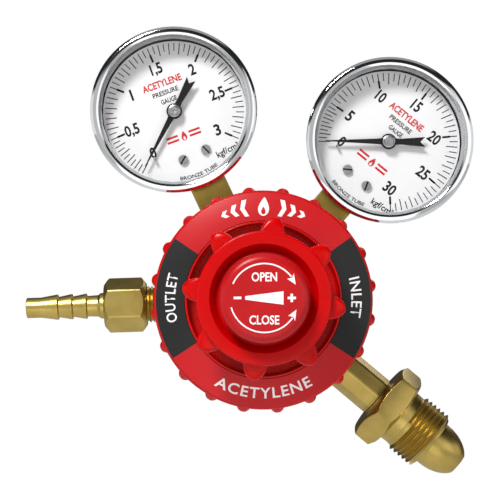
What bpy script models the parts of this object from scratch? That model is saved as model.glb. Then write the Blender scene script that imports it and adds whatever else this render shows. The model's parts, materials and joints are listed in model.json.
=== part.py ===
"""Two-gauge gas pressure regulator, modelled piece by piece.

All sizes are in millimetres and all angles in degrees; MM turns them into metres.
The regulator is drawn about its knob axis: depth is measured from the flat face of
the back plug towards the knob, and reach is measured along a port from the knob axis.
The row's origin is the centre of the inlet nose's tip, where the cylinder valve holds it.
"""
import math

import bmesh
import bpy
from mathutils import Matrix, Vector

MM = 0.001
GAP = 0.3               # clearance between two pieces that touch
OVERCUT = 3.0           # how far a cutter runs past the wall it cuts
MERGE = 0.00001         # merge distance of turned shapes, metres
ROUNDNESS = 0.6         # how deep a hexagon's corners are turned back, as a slope

# Ports: directions about the knob axis, anticlockwise from +X seen from the front
PLUG_HEAD = 4.0
PORT_THREAD_RADIUS = 6.4
BOSS_RADIUS = PORT_THREAD_RADIUS + 3.1
PORT_DEPTH = PLUG_HEAD + GAP + 0.2 + BOSS_RADIUS
INLET_ANGLE = -40.0
OUTLET_ANGLE = 181.8
FLANGE_RADIUS = 30.0
BOSS_REACH = FLANGE_RADIUS - 3.0
PORT_BORE_REACH = 17.0
PASSAGE_RADIUS = 2.0

# Body, along the depth
PLUG_HEX = 19.0
PLUG_THREAD_RADIUS = 7.7
PLUG_LENGTH = 9.0
VALVE_SPRING_SEAT = PLUG_LENGTH - 2.8
BODY_RADIUS = 16.0
CHAMBER_TOP = PORT_DEPTH + 3.5
WEB_TOP = CHAMBER_TOP + 6.5
FLANGE_BACK = PORT_DEPTH + PORT_THREAD_RADIUS + 2.1
FLANGE_FRONT = FLANGE_BACK + 8.5
SEAT_RADIUS = FLANGE_RADIUS - 5.0
SEAT_DEPTH = FLANGE_FRONT - 2.5
LOW_CHAMBER_RADIUS = SEAT_RADIUS - 5.0
DIAPHRAGM_THICKNESS = 1.0
DIAPHRAGM_BACK = SEAT_DEPTH + GAP
DIAPHRAGM_FRONT = DIAPHRAGM_BACK + DIAPHRAGM_THICKNESS
SLIP_RING_THICKNESS = 0.9
SPRING_PLATE_FRONT = DIAPHRAGM_FRONT + GAP + 2.0
PUSHER_RADIUS = 8.0
PUSHER_BACK = DIAPHRAGM_BACK - GAP - 1.1
STEM_RADIUS = 2.0
NOZZLE_RADIUS = 4.0
NOZZLE_HEX = 9.0
NOZZLE_BORE = 1.5
NOZZLE_SEAT = CHAMBER_TOP - 0.9
VALVE_STEM_RADIUS = 0.9
POPPET_RADIUS = 3.4
POPPET_BACK = NOZZLE_SEAT - GAP - 3.3
POPPET_TAIL_RADIUS = 1.2

# Bonnet, its red cover and the printed ring
BONNET_WALL = 2.4
BONNET_RADIUS = FLANGE_RADIUS + GAP + BONNET_WALL
BONNET_SHOULDER = FLANGE_FRONT + GAP
SPRING_CHAMBER_RADIUS = 14.0
SPRING_CHAMBER_TOP = FLANGE_FRONT + 23.0
NECK_RADIUS = SPRING_CHAMBER_RADIUS + 3.0
NECK_START = FLANGE_FRONT + 8.0
HUB_TOP = SPRING_CHAMBER_TOP + 7.0
COVER_RADIUS = BONNET_RADIUS + 4.5
COVER_BACK = FLANGE_BACK - 0.5
COVER_EDGE = FLANGE_FRONT + 11.6
COVER_CREST = COVER_EDGE + 2.4
COVER_CREST_RADIUS = COVER_RADIUS - 11.0
COVER_FLOOR = COVER_CREST - 3.5
GRIP_COUNT = 20
GRIP_RADIUS = COVER_RADIUS + 1.5
GRIP_RISE = 1.9
GRIP_WIDTH = 4.6
GRIP_START = 7.5
LABEL_INNER = COVER_CREST_RADIUS + 0.4
LABEL_OUTER = COVER_RADIUS - 0.8
LABEL_THICKNESS = 0.5

# Adjusting screw, knob and main spring
SCREW_RADIUS = 4.0
SCREW_TIP = SPRING_CHAMBER_TOP - 1.8
SCREW_SHOULDER = HUB_TOP + 6.2
SCREW_END_RADIUS = SCREW_RADIUS - 1.0
SCREW_END = SCREW_SHOULDER + 9.8
HUB_RADIUS = SCREW_RADIUS + 5.0
KNOB_BACK = SPRING_CHAMBER_TOP - 2.0
KNOB_SKIRT_BORE = NECK_RADIUS + 1.2
KNOB_SKIRT_RADIUS = KNOB_SKIRT_BORE + 2.3
KNOB_RIM_RADIUS = KNOB_SKIRT_RADIUS + 1.1
KNOB_RIM = SCREW_SHOULDER + 8.8
KNOB_WEB = SCREW_SHOULDER + 2.8
KNOB_NUT_SEAT = SCREW_SHOULDER + 4.8
KNOB_NUT_HEX = 2.0 * SCREW_RADIUS + 2.0
KNOB_NUT_HEIGHT = 3.7
KNOB_SOCKET_RADIUS = KNOB_NUT_HEX / 2.0 + 2.0
KNOB_BOSS_RADIUS = KNOB_SOCKET_RADIUS + 5.3
KNOB_BOSS_TOP = KNOB_NUT_SEAT + 6.0
KNOB_DISH = KNOB_RIM - 2.0
LOBE_COUNT = 8
LOBE_RADIUS = KNOB_RIM_RADIUS + 4.9
LOBE_HALF_WIDTH = 4.0
LOBE_HEIGHT = 6.2
LOBE_START = 37.5
LOBE_BACK = KNOB_BACK + 4.0
LOBE_FRONT = KNOB_RIM - 2.8
CAP_RADIUS = KNOB_BOSS_RADIUS + 2.1
CAP_CROWN = 3.0
CAP_FRONT = KNOB_BOSS_TOP + CAP_CROWN + 3.0
SPRING_WIRE = 2.2
SPRING_RADIUS = SPRING_CHAMBER_RADIUS - 4.7
SPRING_TURNS = 4
BUTTON_RADIUS = SPRING_CHAMBER_RADIUS - 2.5
PILOT_RADIUS = SPRING_RADIUS - SPRING_WIRE / 2.0 - 1.7
PILOT_HEIGHT = 2.0
VALVE_SPRING_WIRE = 0.6
VALVE_SPRING_RADIUS = 2.2
VALVE_SPRING_TURNS = 4

# Inlet: reach along its port
GAS_BORE = 2.5
FILTER_BORE = 1.0
FILTER_LENGTH = 12.0
SHANK_RADIUS = PORT_THREAD_RADIUS + 0.1
INLET_SHANK_FLATS = 2.0 * SHANK_RADIUS + 0.4
INLET_SHANK_TURN = 21.0
NOSE_RADIUS = SHANK_RADIUS + 1.9
NOSE_TIP_RADIUS = NOSE_RADIUS - 4.4
INLET_THREAD_RADIUS = NOSE_RADIUS + 2.85
INLET_THREAD_PITCH = 1.814
INLET_THREAD_HEIGHT = 1.1
INLET_NECK_RADIUS = INLET_THREAD_RADIUS - 1.05
INLET_NUT_HEX = 2.0 * INLET_THREAD_RADIUS + 4.5
INLET_NUT_TURN = -12.8
INLET_NUT_REAR = GRIP_RADIUS + 15.1
INLET_HEX_FRONT = INLET_NUT_REAR + 8.7
INLET_THREAD_START = INLET_HEX_FRONT + 3.8
INLET_NUT_END = INLET_THREAD_START + 11.6
NOSE_BACK = INLET_NUT_END - 3.6
NOSE_SHOULDER = NOSE_BACK + 5.2
NOSE_TIP = NOSE_SHOULDER + 10.6

# Outlet: reach along its port
OUTLET_THREAD_RADIUS = 6.58
OUTLET_THREAD_PITCH = 1.337
OUTLET_THREAD_HEIGHT = 0.8
OUTLET_FLANGE_HEX = 2.0 * PORT_THREAD_RADIUS + 3.2
OUTLET_NUT_REAR = GRIP_RADIUS + 2.5
OUTLET_FLANGE_END = OUTLET_NUT_REAR - 5.2
OUTLET_SEAT = OUTLET_NUT_REAR + 6.3
OUTLET_NUT_HEX = 2.0 * OUTLET_THREAD_RADIUS + 3.84
OUTLET_NUT_END = OUTLET_NUT_REAR + 15.0
OUTLET_NUT_WALL = 3.6
OUTLET_NUT_TURN = 3.0
SEAT_MOUTH = OUTLET_THREAD_RADIUS - 1.18        # the outlet's cone where it opens
SEAT_CONE = 2.4                                 # how much the cone narrows
HOSE_BORE = 2.3
HOSE_NECK = 4.55
HOSE_FLANGE_RADIUS = OUTLET_THREAD_RADIUS - 0.18
BARB_ROOT = 3.65
BARB_CREST = 4.5
BARB_FIRST = OUTLET_NUT_END + 6.5
BARB_STEP = 5.1
BARB_COUNT = 3
LEAD_LENGTH = 5.1
HOSE_TIP = BARB_FIRST + BARB_STEP * (BARB_COUNT - 1) + 6.0 + LEAD_LENGTH

# Gauges
CASE_RADIUS = 27.0
BEZEL_RADIUS = CASE_RADIUS + 2.0
GAUGE_REACH = GRIP_RADIUS + BEZEL_RADIUS
GAUGES = {
    "outlet_gauge": {
        "direction": 115.1, "reach": GAUGE_REACH + 5.4, "offset": 0.0, "zero": 242.5,
    },
    "inlet_gauge": {
        "direction": 48.8, "reach": GAUGE_REACH + 3.1, "offset": 3.45, "zero": 179.25,
    },
}
SHANK_SQUARE = 2.0 * PORT_THREAD_RADIUS + 0.2
SHANK_START = BOSS_REACH + 1.3
SOCKET_BORE = 1.5
CASE_WALL = 1.2
CASE_BACK = PORT_DEPTH - 9.0
CASE_FRONT = PORT_DEPTH + 15.6
CASE_ROUND = 3.0
BEZEL_BACK = PORT_DEPTH + 10.0
BEZEL_FRONT = CASE_FRONT + 3.4
BEZEL_LIP = 0.7
BEZEL_SIGHT = CASE_RADIUS - 1.0
WINDOW_THICKNESS = 1.2
GASKET_WIDTH = 1.8
GASKET_THICKNESS = 0.6
DIAL_RADIUS = CASE_RADIUS - CASE_WALL - 0.6
DIAL_BACK = PORT_DEPTH + 10.0
DIAL_THICKNESS = 0.6
DIAL_SCREW_X = 4.35
DIAL_SCREW_Y = -16.7
DIAL_SCREW_HEAD = 1.7
DIAL_SCREW_SHANK = 0.8
DIAL_SCREW_TURNS = (35.0, -70.0)
STOP_PIN_RADIUS = 0.5
STOP_PIN_PITCH = DIAL_RADIUS - 7.2
STOP_PIN_LEAD = 5.5
POINTER_BACK = DIAL_BACK + 2.6
POINTER_THICKNESS = 0.5
POINTER_REACH = DIAL_RADIUS - 3.2
POINTER_TAIL = 12.8
POINTER_TAIL_WIDTH = 3.4
POINTER_HUB = 2.8
POINTER_CAP_RADIUS = 2.2
ARBOR_RADIUS = 0.7
PINION_RADIUS = 0.93
FRAME_WIDTH = 20.0
FRAME_TOP = 9.0
FRAME_FRONT = DIAL_BACK - 1.5
FRAME_BACK = FRAME_FRONT - 11.5
FRAME_PLATE = 1.2
SECTOR_PIVOT = (-8.0, -10.3)
SECTOR_RADIUS = 11.8
SECTOR_BACK = FRAME_FRONT - 6.0
SECTOR_THICKNESS = 0.8
TAIL_LENGTH = 12.0
TAIL_ANGLE = -10.0
LINK_BACK = SECTOR_BACK + SECTOR_THICKNESS + GAP
LINK_HALF_WIDTH = 1.5
LINK_PIN_RADIUS = 0.5
TUBE_RADIUS = 19.5
TUBE_HALF_WALL = 1.2
TUBE_HALF_DEPTH = 3.0
TUBE_START = 247.0
TUBE_END = -5.0
BLOCK_HALF_WIDTH = 6.0
BLOCK_TOP = -15.3

FINISHES = {
    "brass": ((0.47, 0.33, 0.10), 0.34, 1.0),
    "machined_brass": ((0.55, 0.40, 0.13), 0.26, 1.0),
    "steel": ((0.45, 0.45, 0.46), 0.35, 1.0),
    "chrome": ((0.78, 0.79, 0.80), 0.12, 1.0),
    "bronze": ((0.42, 0.24, 0.12), 0.75, 0.6),
    "knob_red": ((0.60, 0.00, 0.005), 0.25, 0.0),
    "cover_red": ((0.50, 0.01, 0.01), 0.35, 0.0),
    "label": ((0.55, 0.04, 0.04), 0.45, 0.0),
    "rubber": ((0.02, 0.02, 0.02), 0.8, 0.0),
    "dial_white": ((0.90, 0.90, 0.90), 0.5, 0.0),
    "black": ((0.01, 0.01, 0.01), 0.4, 0.0),
    "clear": ((0.85, 0.90, 0.92), 0.05, 0.0),
}


# ---------------------------------------------------------------- scene and frames

def clear_scene():
    for thing in list(bpy.data.objects):
        bpy.data.objects.remove(thing, do_unlink=True)


def make_collection(name):
    group = bpy.data.collections.new(name)
    bpy.context.scene.collection.children.link(group)
    return group


def make_material(name):
    colour, roughness, metallic = FINISHES[name]
    material = bpy.data.materials.new(name)
    material.use_nodes = True
    shader = material.node_tree.nodes["Principled BSDF"]
    shader.inputs["Base Color"].default_value = (*colour, 1.0)
    shader.inputs["Roughness"].default_value = roughness
    shader.inputs["Metallic"].default_value = metallic
    return material


def direction(angle):
    """Unit vector across the front, at an angle anticlockwise from +X."""
    turn = math.radians(angle)
    return Vector((math.cos(turn), 0.0, math.sin(turn)))


FRONT = Vector((0.0, -1.0, 0.0))
KNOB_AXIS_POINT = -direction(INLET_ANGLE) * NOSE_TIP * MM   # on the ports' plane
BACK_POINT = KNOB_AXIS_POINT - FRONT * PORT_DEPTH * MM


def add_frame(name, origin, x_axis, y_axis, z_axis):
    """An empty whose axes are the three given, for pieces to stand in."""
    empty = bpy.data.objects.new(name, None)
    turn = Matrix((x_axis, y_axis, z_axis)).transposed().to_4x4()
    empty.matrix_world = Matrix.Translation(origin) @ turn
    PARTS.objects.link(empty)
    return empty


def depth_frame(name, centre=None, up=None):
    """Local Z is the depth towards the front; local Y is up."""
    up = up or Vector((0.0, 0.0, 1.0))
    return add_frame(name, centre or BACK_POINT, up.cross(FRONT), up, FRONT)


def port_frame(name, angle, offset=0.0):
    """Local Z runs out along a port; local X faces the front."""
    out = direction(angle)
    side = direction(angle + 90.0)
    return add_frame(name, KNOB_AXIS_POINT + side * offset * MM, FRONT, out.cross(FRONT), out)


# ---------------------------------------------------------------- shapes

def place(obj, frame, finish=None, group=None):
    (group or PARTS).objects.link(obj)
    obj.parent = frame
    if finish:
        obj.data.materials.append(MATERIALS[finish])
    return obj


def hide_cutter(obj):
    obj.hide_render = True
    obj.display_type = "WIRE"
    return obj


def smooth(obj, angle=35.0):
    obj.data.shade_smooth()
    obj.data.set_sharp_from_angle(angle=math.radians(angle))
    return obj


def turned(name, profile, frame, finish=None, steps=32, closed=False, group=None):
    """Turns (radius, height) points, listed down the outer side, about local Z."""
    mesh = bpy.data.meshes.new(name)
    points = [(radius * MM, 0.0, height * MM) for radius, height in profile]
    edges = [(i, i + 1) for i in range(len(points) - 1)]
    if closed:
        edges.append((len(points) - 1, 0))
    mesh.from_pydata(points, edges, [])
    obj = place(bpy.data.objects.new(name, mesh), frame, finish, group)
    screw = obj.modifiers.new("turn", "SCREW")
    screw.steps = screw.render_steps = steps
    screw.use_merge_vertices = True
    screw.merge_threshold = MERGE
    screw.use_smooth_shade = True
    return obj


def ring(name, inner, outer, low, high, frame, finish=None, steps=32, group=None):
    profile = [(inner, high), (outer, high), (outer, low), (inner, low)]
    return turned(name, profile, frame, finish, steps, closed=True, group=group)


def disc(name, radius, low, high, frame, finish=None, steps=24, group=None):
    profile = [(0.0, high), (radius, high), (radius, low), (0.0, low)]
    return turned(name, profile, frame, finish, steps, group=group)


def mesh_from(name, build, frame, finish=None, group=None):
    """A mesh object filled by a function that draws into a bmesh."""
    mesh = bpy.data.meshes.new(name)
    bm = bmesh.new()
    build(bm)
    bmesh.ops.recalc_face_normals(bm, faces=bm.faces)
    bm.to_mesh(mesh)
    bm.free()
    return place(bpy.data.objects.new(name, mesh), frame, finish, group)


def add_box(bm, low, high):
    size = [(b - a) * MM for a, b in zip(low, high)]
    centre = [(a + b) * MM / 2.0 for a, b in zip(low, high)]
    matrix = Matrix.Translation(centre) @ Matrix.Diagonal((*size, 1.0))
    bmesh.ops.create_cube(bm, size=1.0, matrix=matrix)


def box(name, low, high, frame, finish=None, group=None):
    return mesh_from(name, lambda bm: add_box(bm, low, high), frame, finish, group)


def add_post(bm, radius, low, high, centre=(0.0, 0.0), sides=16, stretch=1.0, turn=0.0):
    """A cylinder along local Z; stretch widens it along its own X before it is turned."""
    matrix = (
        Matrix.Translation((centre[0] * MM, centre[1] * MM, (low + high) * MM / 2.0))
        @ Matrix.Rotation(turn, 4, "Z")
        @ Matrix.Diagonal((stretch, 1.0, 1.0, 1.0))
    )
    bmesh.ops.create_cone(
        bm, cap_ends=True, segments=sides, radius1=radius * MM, radius2=radius * MM,
        depth=(high - low) * MM, matrix=matrix,
    )


def post(name, radius, low, high, frame, finish=None, centre=(0.0, 0.0), sides=16, group=None):
    return mesh_from(
        name, lambda bm: add_post(bm, radius, low, high, centre, sides), frame, finish, group
    )


def prism(name, sides, flats, low, high, frame, finish=None, turn=0.0, group=None):
    """A bar with a flat facing local X, turned by an angle about local Z.

    A cone's first corner stands on local Y.
    """
    corner = flats / 2.0 / math.cos(math.pi / sides)
    angle = math.radians(turn - 90.0) + math.pi / sides

    def build(bm):
        add_post(bm, corner, low, high, sides=sides, turn=angle)

    return mesh_from(name, build, frame, finish, group)


def combine(obj, operation, other):
    """A Boolean with another object, which joins the cutters."""
    if other.name not in CUTTERS.objects:
        PARTS.objects.unlink(other)
        CUTTERS.objects.link(other)
    hide_cutter(other)
    modifier = obj.modifiers.new(operation.lower(), "BOOLEAN")
    modifier.operation = operation
    modifier.solver = "EXACT"
    modifier.object = other
    return obj


def cut(obj, other):
    return combine(obj, "DIFFERENCE", other)


def join(obj, other):
    return combine(obj, "UNION", other)


def mesh_of_curve(name, curve, frame, finish, scale=(1.0, 1.0, 1.0)):
    """Turns a curve into a welded mesh with a scale of its own."""
    guide = bpy.data.objects.new(name + "_guide", curve)
    PARTS.objects.link(guide)
    bpy.context.view_layer.update()
    depsgraph = bpy.context.evaluated_depsgraph_get()
    mesh = bpy.data.meshes.new_from_object(guide.evaluated_get(depsgraph))
    mesh.name = name
    bpy.data.objects.remove(guide, do_unlink=True)
    bm = bmesh.new()
    bm.from_mesh(mesh)
    bmesh.ops.scale(bm, vec=scale, verts=bm.verts)
    bmesh.ops.remove_doubles(bm, verts=bm.verts, dist=MERGE)
    bmesh.ops.recalc_face_normals(bm, faces=bm.faces)
    bm.to_mesh(mesh)
    bm.free()
    mesh.materials.clear()
    return place(bpy.data.objects.new(name, mesh), frame, finish)


def plate(name, outlines, low, high, frame, finish):
    """A flat plate: the first outline is its edge and the others are holes."""
    curve = bpy.data.curves.new(name, "CURVE")
    curve.dimensions = "2D"
    curve.fill_mode = "BOTH"
    curve.extrude = (high - low) * MM / 2.0
    for outline in outlines:
        spline = curve.splines.new("POLY")
        spline.points.add(len(outline) - 1)
        for point, (x, y) in zip(spline.points, outline):
            point.co = (x * MM, y * MM, 0.0, 1.0)
        spline.use_cyclic_u = True
    obj = mesh_of_curve(name, curve, frame, finish)
    obj.data.transform(Matrix.Translation((0.0, 0.0, (low + high) * MM / 2.0)))
    return obj


def arc(radius, start, end, count, centre=(0.0, 0.0)):
    """Points along an arc, both ends included."""
    angles = [math.radians(start + (end - start) * i / (count - 1)) for i in range(count)]
    return [(centre[0] + radius * math.cos(a), centre[1] + radius * math.sin(a)) for a in angles]


def circle(radius, count, centre=(0.0, 0.0)):
    return arc(radius, 0.0, 360.0, count + 1, centre)[:-1]


def polar(radius, angle):
    return (radius * math.cos(math.radians(angle)), radius * math.sin(math.radians(angle)))


def coil(name, wire, radius, low, high, turns, per_turn, sides, frame, finish):
    """A compression spring along local Z between two planes."""
    curve = bpy.data.curves.new(name, "CURVE")
    curve.dimensions = "3D"
    curve.bevel_depth = wire / 2.0 * MM
    curve.bevel_resolution = sides
    curve.use_fill_caps = True
    spline = curve.splines.new("POLY")
    count = turns * per_turn + 1
    spline.points.add(count - 1)
    start, rise = low + wire / 2.0, high - low - wire
    for i, point in enumerate(spline.points):
        angle = 2.0 * math.pi * i / per_turn
        height = start + rise * i / (count - 1)
        point.co = (radius * math.cos(angle) * MM, radius * math.sin(angle) * MM, height * MM, 1.0)
    return smooth(mesh_of_curve(name, curve, frame, finish), 60.0)


def thread(radius, height, pitch, start, end):
    """Outline of a threaded stretch, as rings, from its end down to its start."""
    count = int((end - start) / pitch)
    points = [(radius - height, end), (radius, end - pitch / 2.0)]
    for i in range(1, count):
        valley = end - i * pitch
        points += [(radius - height, valley), (radius, valley - pitch / 2.0)]
    points.append((radius - height, start))
    return points


def chamfered(obj, name, flats, low, high, slope=ROUNDNESS):
    """Turns a hexagon's corners back at both ends."""
    corner = flats / 2.0 / math.cos(math.pi / 6.0) + 0.1
    face = flats / 2.0 * 0.99
    drop = (corner - face) * slope
    lathe = [(0.0, high), (face, high), (corner, high - drop), (corner, low + drop),
             (face, low), (0.0, low)]
    limit = turned(name, lathe, obj.parent, steps=24, group=CUTTERS)
    return combine(obj, "INTERSECT", limit)


# ---------------------------------------------------------------- body and valve

def make_body(frame, ports):
    profile = [
        (0.0, FLANGE_FRONT), (FLANGE_RADIUS, FLANGE_FRONT), (FLANGE_RADIUS, FLANGE_BACK),
        (BODY_RADIUS + 1.5, FLANGE_BACK - 1.5), (BODY_RADIUS, FLANGE_BACK - 3.0),
        (BODY_RADIUS, PLUG_HEAD + GAP + 1.5), (BODY_RADIUS - 1.5, PLUG_HEAD + GAP),
        (0.0, PLUG_HEAD + GAP),
    ]
    body = turned("body", profile, frame, "brass", steps=28)
    for name, port in ports.items():
        join(body, post(name + "_boss", BOSS_RADIUS, 6.0, BOSS_REACH, port, sides=20,
                        group=CUTTERS))
    chamber = [
        (0.0, FLANGE_FRONT + OVERCUT), (SEAT_RADIUS + GAP, FLANGE_FRONT + OVERCUT),
        (SEAT_RADIUS + GAP, SEAT_DEPTH), (LOW_CHAMBER_RADIUS, SEAT_DEPTH),
        (LOW_CHAMBER_RADIUS, WEB_TOP), (NOZZLE_RADIUS + GAP, WEB_TOP),
        (NOZZLE_RADIUS + GAP, CHAMBER_TOP), (PLUG_THREAD_RADIUS + GAP, CHAMBER_TOP),
        (PLUG_THREAD_RADIUS + GAP, PLUG_HEAD - OVERCUT), (0.0, PLUG_HEAD - OVERCUT),
    ]
    cut(body, turned("chamber_bore", chamber, frame, steps=28, group=CUTTERS))
    for name, port in ports.items():
        cut(body, post(name + "_bore", PORT_THREAD_RADIUS + GAP, PORT_BORE_REACH,
                       BOSS_REACH + OVERCUT, port, sides=14, group=CUTTERS))
        if name in ("inlet", "inlet_gauge"):
            cut(body, post(name + "_passage", PASSAGE_RADIUS, PLUG_THREAD_RADIUS - OVERCUT,
                           PORT_BORE_REACH + OVERCUT, port, sides=8, group=CUTTERS))
    low_side = PORT_BORE_REACH + PASSAGE_RADIUS / 2.0
    for name, angle in (("outlet", OUTLET_ANGLE),
                        ("outlet_gauge", GAUGES["outlet_gauge"]["direction"])):
        cut(body, post(name + "_passage", PASSAGE_RADIUS * 0.8, PORT_DEPTH, WEB_TOP + 1.0,
                       frame, centre=polar(low_side, angle), sides=8, group=CUTTERS))


def make_back_plug(frame):
    plug = prism("back_plug", 6, PLUG_HEX, 0.0, PLUG_HEAD, frame, "machined_brass")
    chamfered(plug, "back_plug_corners", PLUG_HEX, 0.0, PLUG_HEAD)
    join(plug, disc("back_plug_thread", PLUG_THREAD_RADIUS, PLUG_HEAD - 1.0, PLUG_LENGTH, frame,
                    group=CUTTERS))
    pocket = VALVE_SPRING_RADIUS + VALVE_SPRING_WIRE / 2.0 + 0.5
    cut(plug, post("back_plug_pocket", pocket, VALVE_SPRING_SEAT, PLUG_LENGTH + OVERCUT, frame,
                   group=CUTTERS))


def make_nozzle(frame):
    low = CHAMBER_TOP - 0.5
    profile = [
        (0.0, WEB_TOP + 1.0), (NOZZLE_RADIUS, WEB_TOP + 1.0), (NOZZLE_RADIUS, low + 0.4),
        (NOZZLE_BORE + 0.8, low - 0.2), (NOZZLE_BORE + 0.4, NOZZLE_SEAT), (0.0, NOZZLE_SEAT),
    ]
    nozzle = turned("seat_nozzle", profile, frame, "machined_brass", steps=16)
    head = prism("seat_nozzle_head", 6, NOZZLE_HEX, WEB_TOP + GAP, WEB_TOP + 2.2, frame,
                 group=CUTTERS)
    join(nozzle, head)
    cut(nozzle, post("seat_nozzle_bore", NOZZLE_BORE, NOZZLE_SEAT - OVERCUT,
                     WEB_TOP + OVERCUT, frame, sides=12, group=CUTTERS))


def make_valve(frame):
    top = PUSHER_BACK - GAP
    seat = NOZZLE_SEAT - GAP
    profile = [
        (0.0, top), (VALVE_STEM_RADIUS, top), (VALVE_STEM_RADIUS, seat),
        (POPPET_RADIUS, seat), (POPPET_RADIUS, POPPET_BACK), (POPPET_TAIL_RADIUS, POPPET_BACK),
        (POPPET_TAIL_RADIUS, POPPET_BACK - 2.0), (0.0, POPPET_BACK - 2.0),
    ]
    turned("valve_poppet", profile, frame, "steel", steps=16)
    coil("valve_spring", VALVE_SPRING_WIRE, VALVE_SPRING_RADIUS, VALVE_SPRING_SEAT + GAP,
         POPPET_BACK - GAP, VALVE_SPRING_TURNS, 8, 1, frame, "steel")


def make_diaphragm(frame):
    hole = STEM_RADIUS + GAP
    ring("diaphragm", hole, SEAT_RADIUS, DIAPHRAGM_BACK, DIAPHRAGM_FRONT, frame, "rubber")
    low = DIAPHRAGM_FRONT + GAP
    ring("slip_ring", LOW_CHAMBER_RADIUS - 1.0, SEAT_RADIUS, low, low + SLIP_RING_THICKNESS,
         frame, "steel")
    pilot = [
        (hole, SPRING_PLATE_FRONT + 1.5), (PILOT_RADIUS, SPRING_PLATE_FRONT + 1.5),
        (PILOT_RADIUS, SPRING_PLATE_FRONT), (BUTTON_RADIUS + 1.0, SPRING_PLATE_FRONT),
        (BUTTON_RADIUS + 1.0, low), (hole, low),
    ]
    turned("spring_plate", pilot, frame, "steel", steps=20, closed=True)
    stem_top = SPRING_PLATE_FRONT + 1.9
    pusher = [
        (0.0, stem_top), (STEM_RADIUS, stem_top), (STEM_RADIUS, DIAPHRAGM_BACK - GAP),
        (PUSHER_RADIUS, DIAPHRAGM_BACK - GAP), (PUSHER_RADIUS, PUSHER_BACK), (0.0, PUSHER_BACK),
    ]
    turned("pusher_plate", pusher, frame, "machined_brass", steps=16)


# ---------------------------------------------------------------- bonnet, spring and knob

def make_bonnet(frame):
    bore = SCREW_RADIUS + GAP
    skirt = FLANGE_RADIUS + GAP
    profile = [
        (bore, HUB_TOP), (HUB_RADIUS, HUB_TOP), (HUB_RADIUS, SPRING_CHAMBER_TOP + BONNET_WALL),
        (NECK_RADIUS, SPRING_CHAMBER_TOP + BONNET_WALL), (NECK_RADIUS, NECK_START),
        (BONNET_RADIUS, BONNET_SHOULDER + 1.7), (BONNET_RADIUS, FLANGE_BACK + 0.5),
        (skirt, FLANGE_BACK + 0.5), (skirt, BONNET_SHOULDER),
        (LOW_CHAMBER_RADIUS - 1.0, BONNET_SHOULDER),
        (LOW_CHAMBER_RADIUS - 1.0, BONNET_SHOULDER + 2.2),
        (SPRING_CHAMBER_RADIUS, NECK_START - 1.5), (SPRING_CHAMBER_RADIUS, SPRING_CHAMBER_TOP),
        (bore, SPRING_CHAMBER_TOP),
    ]
    turned("bonnet", profile, frame, "brass", steps=28, closed=True)


def make_cover(frame):
    inner = BONNET_RADIUS + 0.4
    throat = NECK_RADIUS + 0.4
    profile = [
        (throat, COVER_FLOOR), (COVER_CREST_RADIUS - 0.4, COVER_FLOOR),
        (COVER_CREST_RADIUS, COVER_CREST), (COVER_RADIUS - 0.6, COVER_EDGE),
        (COVER_RADIUS, COVER_EDGE - 0.8), (COVER_RADIUS, COVER_BACK), (inner, COVER_BACK),
        (inner, BONNET_SHOULDER + 2.3), (throat, NECK_START + 0.6),
    ]
    cover = turned("bonnet_cover", profile, frame, "cover_red", steps=40, closed=True)

    def build(bm):
        for i in range(GRIP_COUNT):
            angle = GRIP_START + 360.0 * i / GRIP_COUNT
            add_post(bm, GRIP_RISE, COVER_BACK + 1.0, COVER_EDGE - 1.4,
                     polar(GRIP_RADIUS - GRIP_RISE, angle), sides=6,
                     stretch=GRIP_WIDTH / 2.0 / GRIP_RISE, turn=math.radians(angle + 90.0))

    join(cover, mesh_from("cover_grips", build, frame, group=CUTTERS))
    slope = (COVER_EDGE - COVER_CREST) / (COVER_RADIUS - 0.6 - COVER_CREST_RADIUS)
    inner_low = COVER_CREST + slope * (LABEL_INNER - COVER_CREST_RADIUS) + GAP
    outer_low = COVER_CREST + slope * (LABEL_OUTER - COVER_CREST_RADIUS) + GAP
    label = [
        (LABEL_INNER, inner_low + LABEL_THICKNESS), (LABEL_OUTER, outer_low + LABEL_THICKNESS),
        (LABEL_OUTER, outer_low), (LABEL_INNER, inner_low),
    ]
    turned("label_ring", label, frame, "label", steps=40, closed=True)


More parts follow.
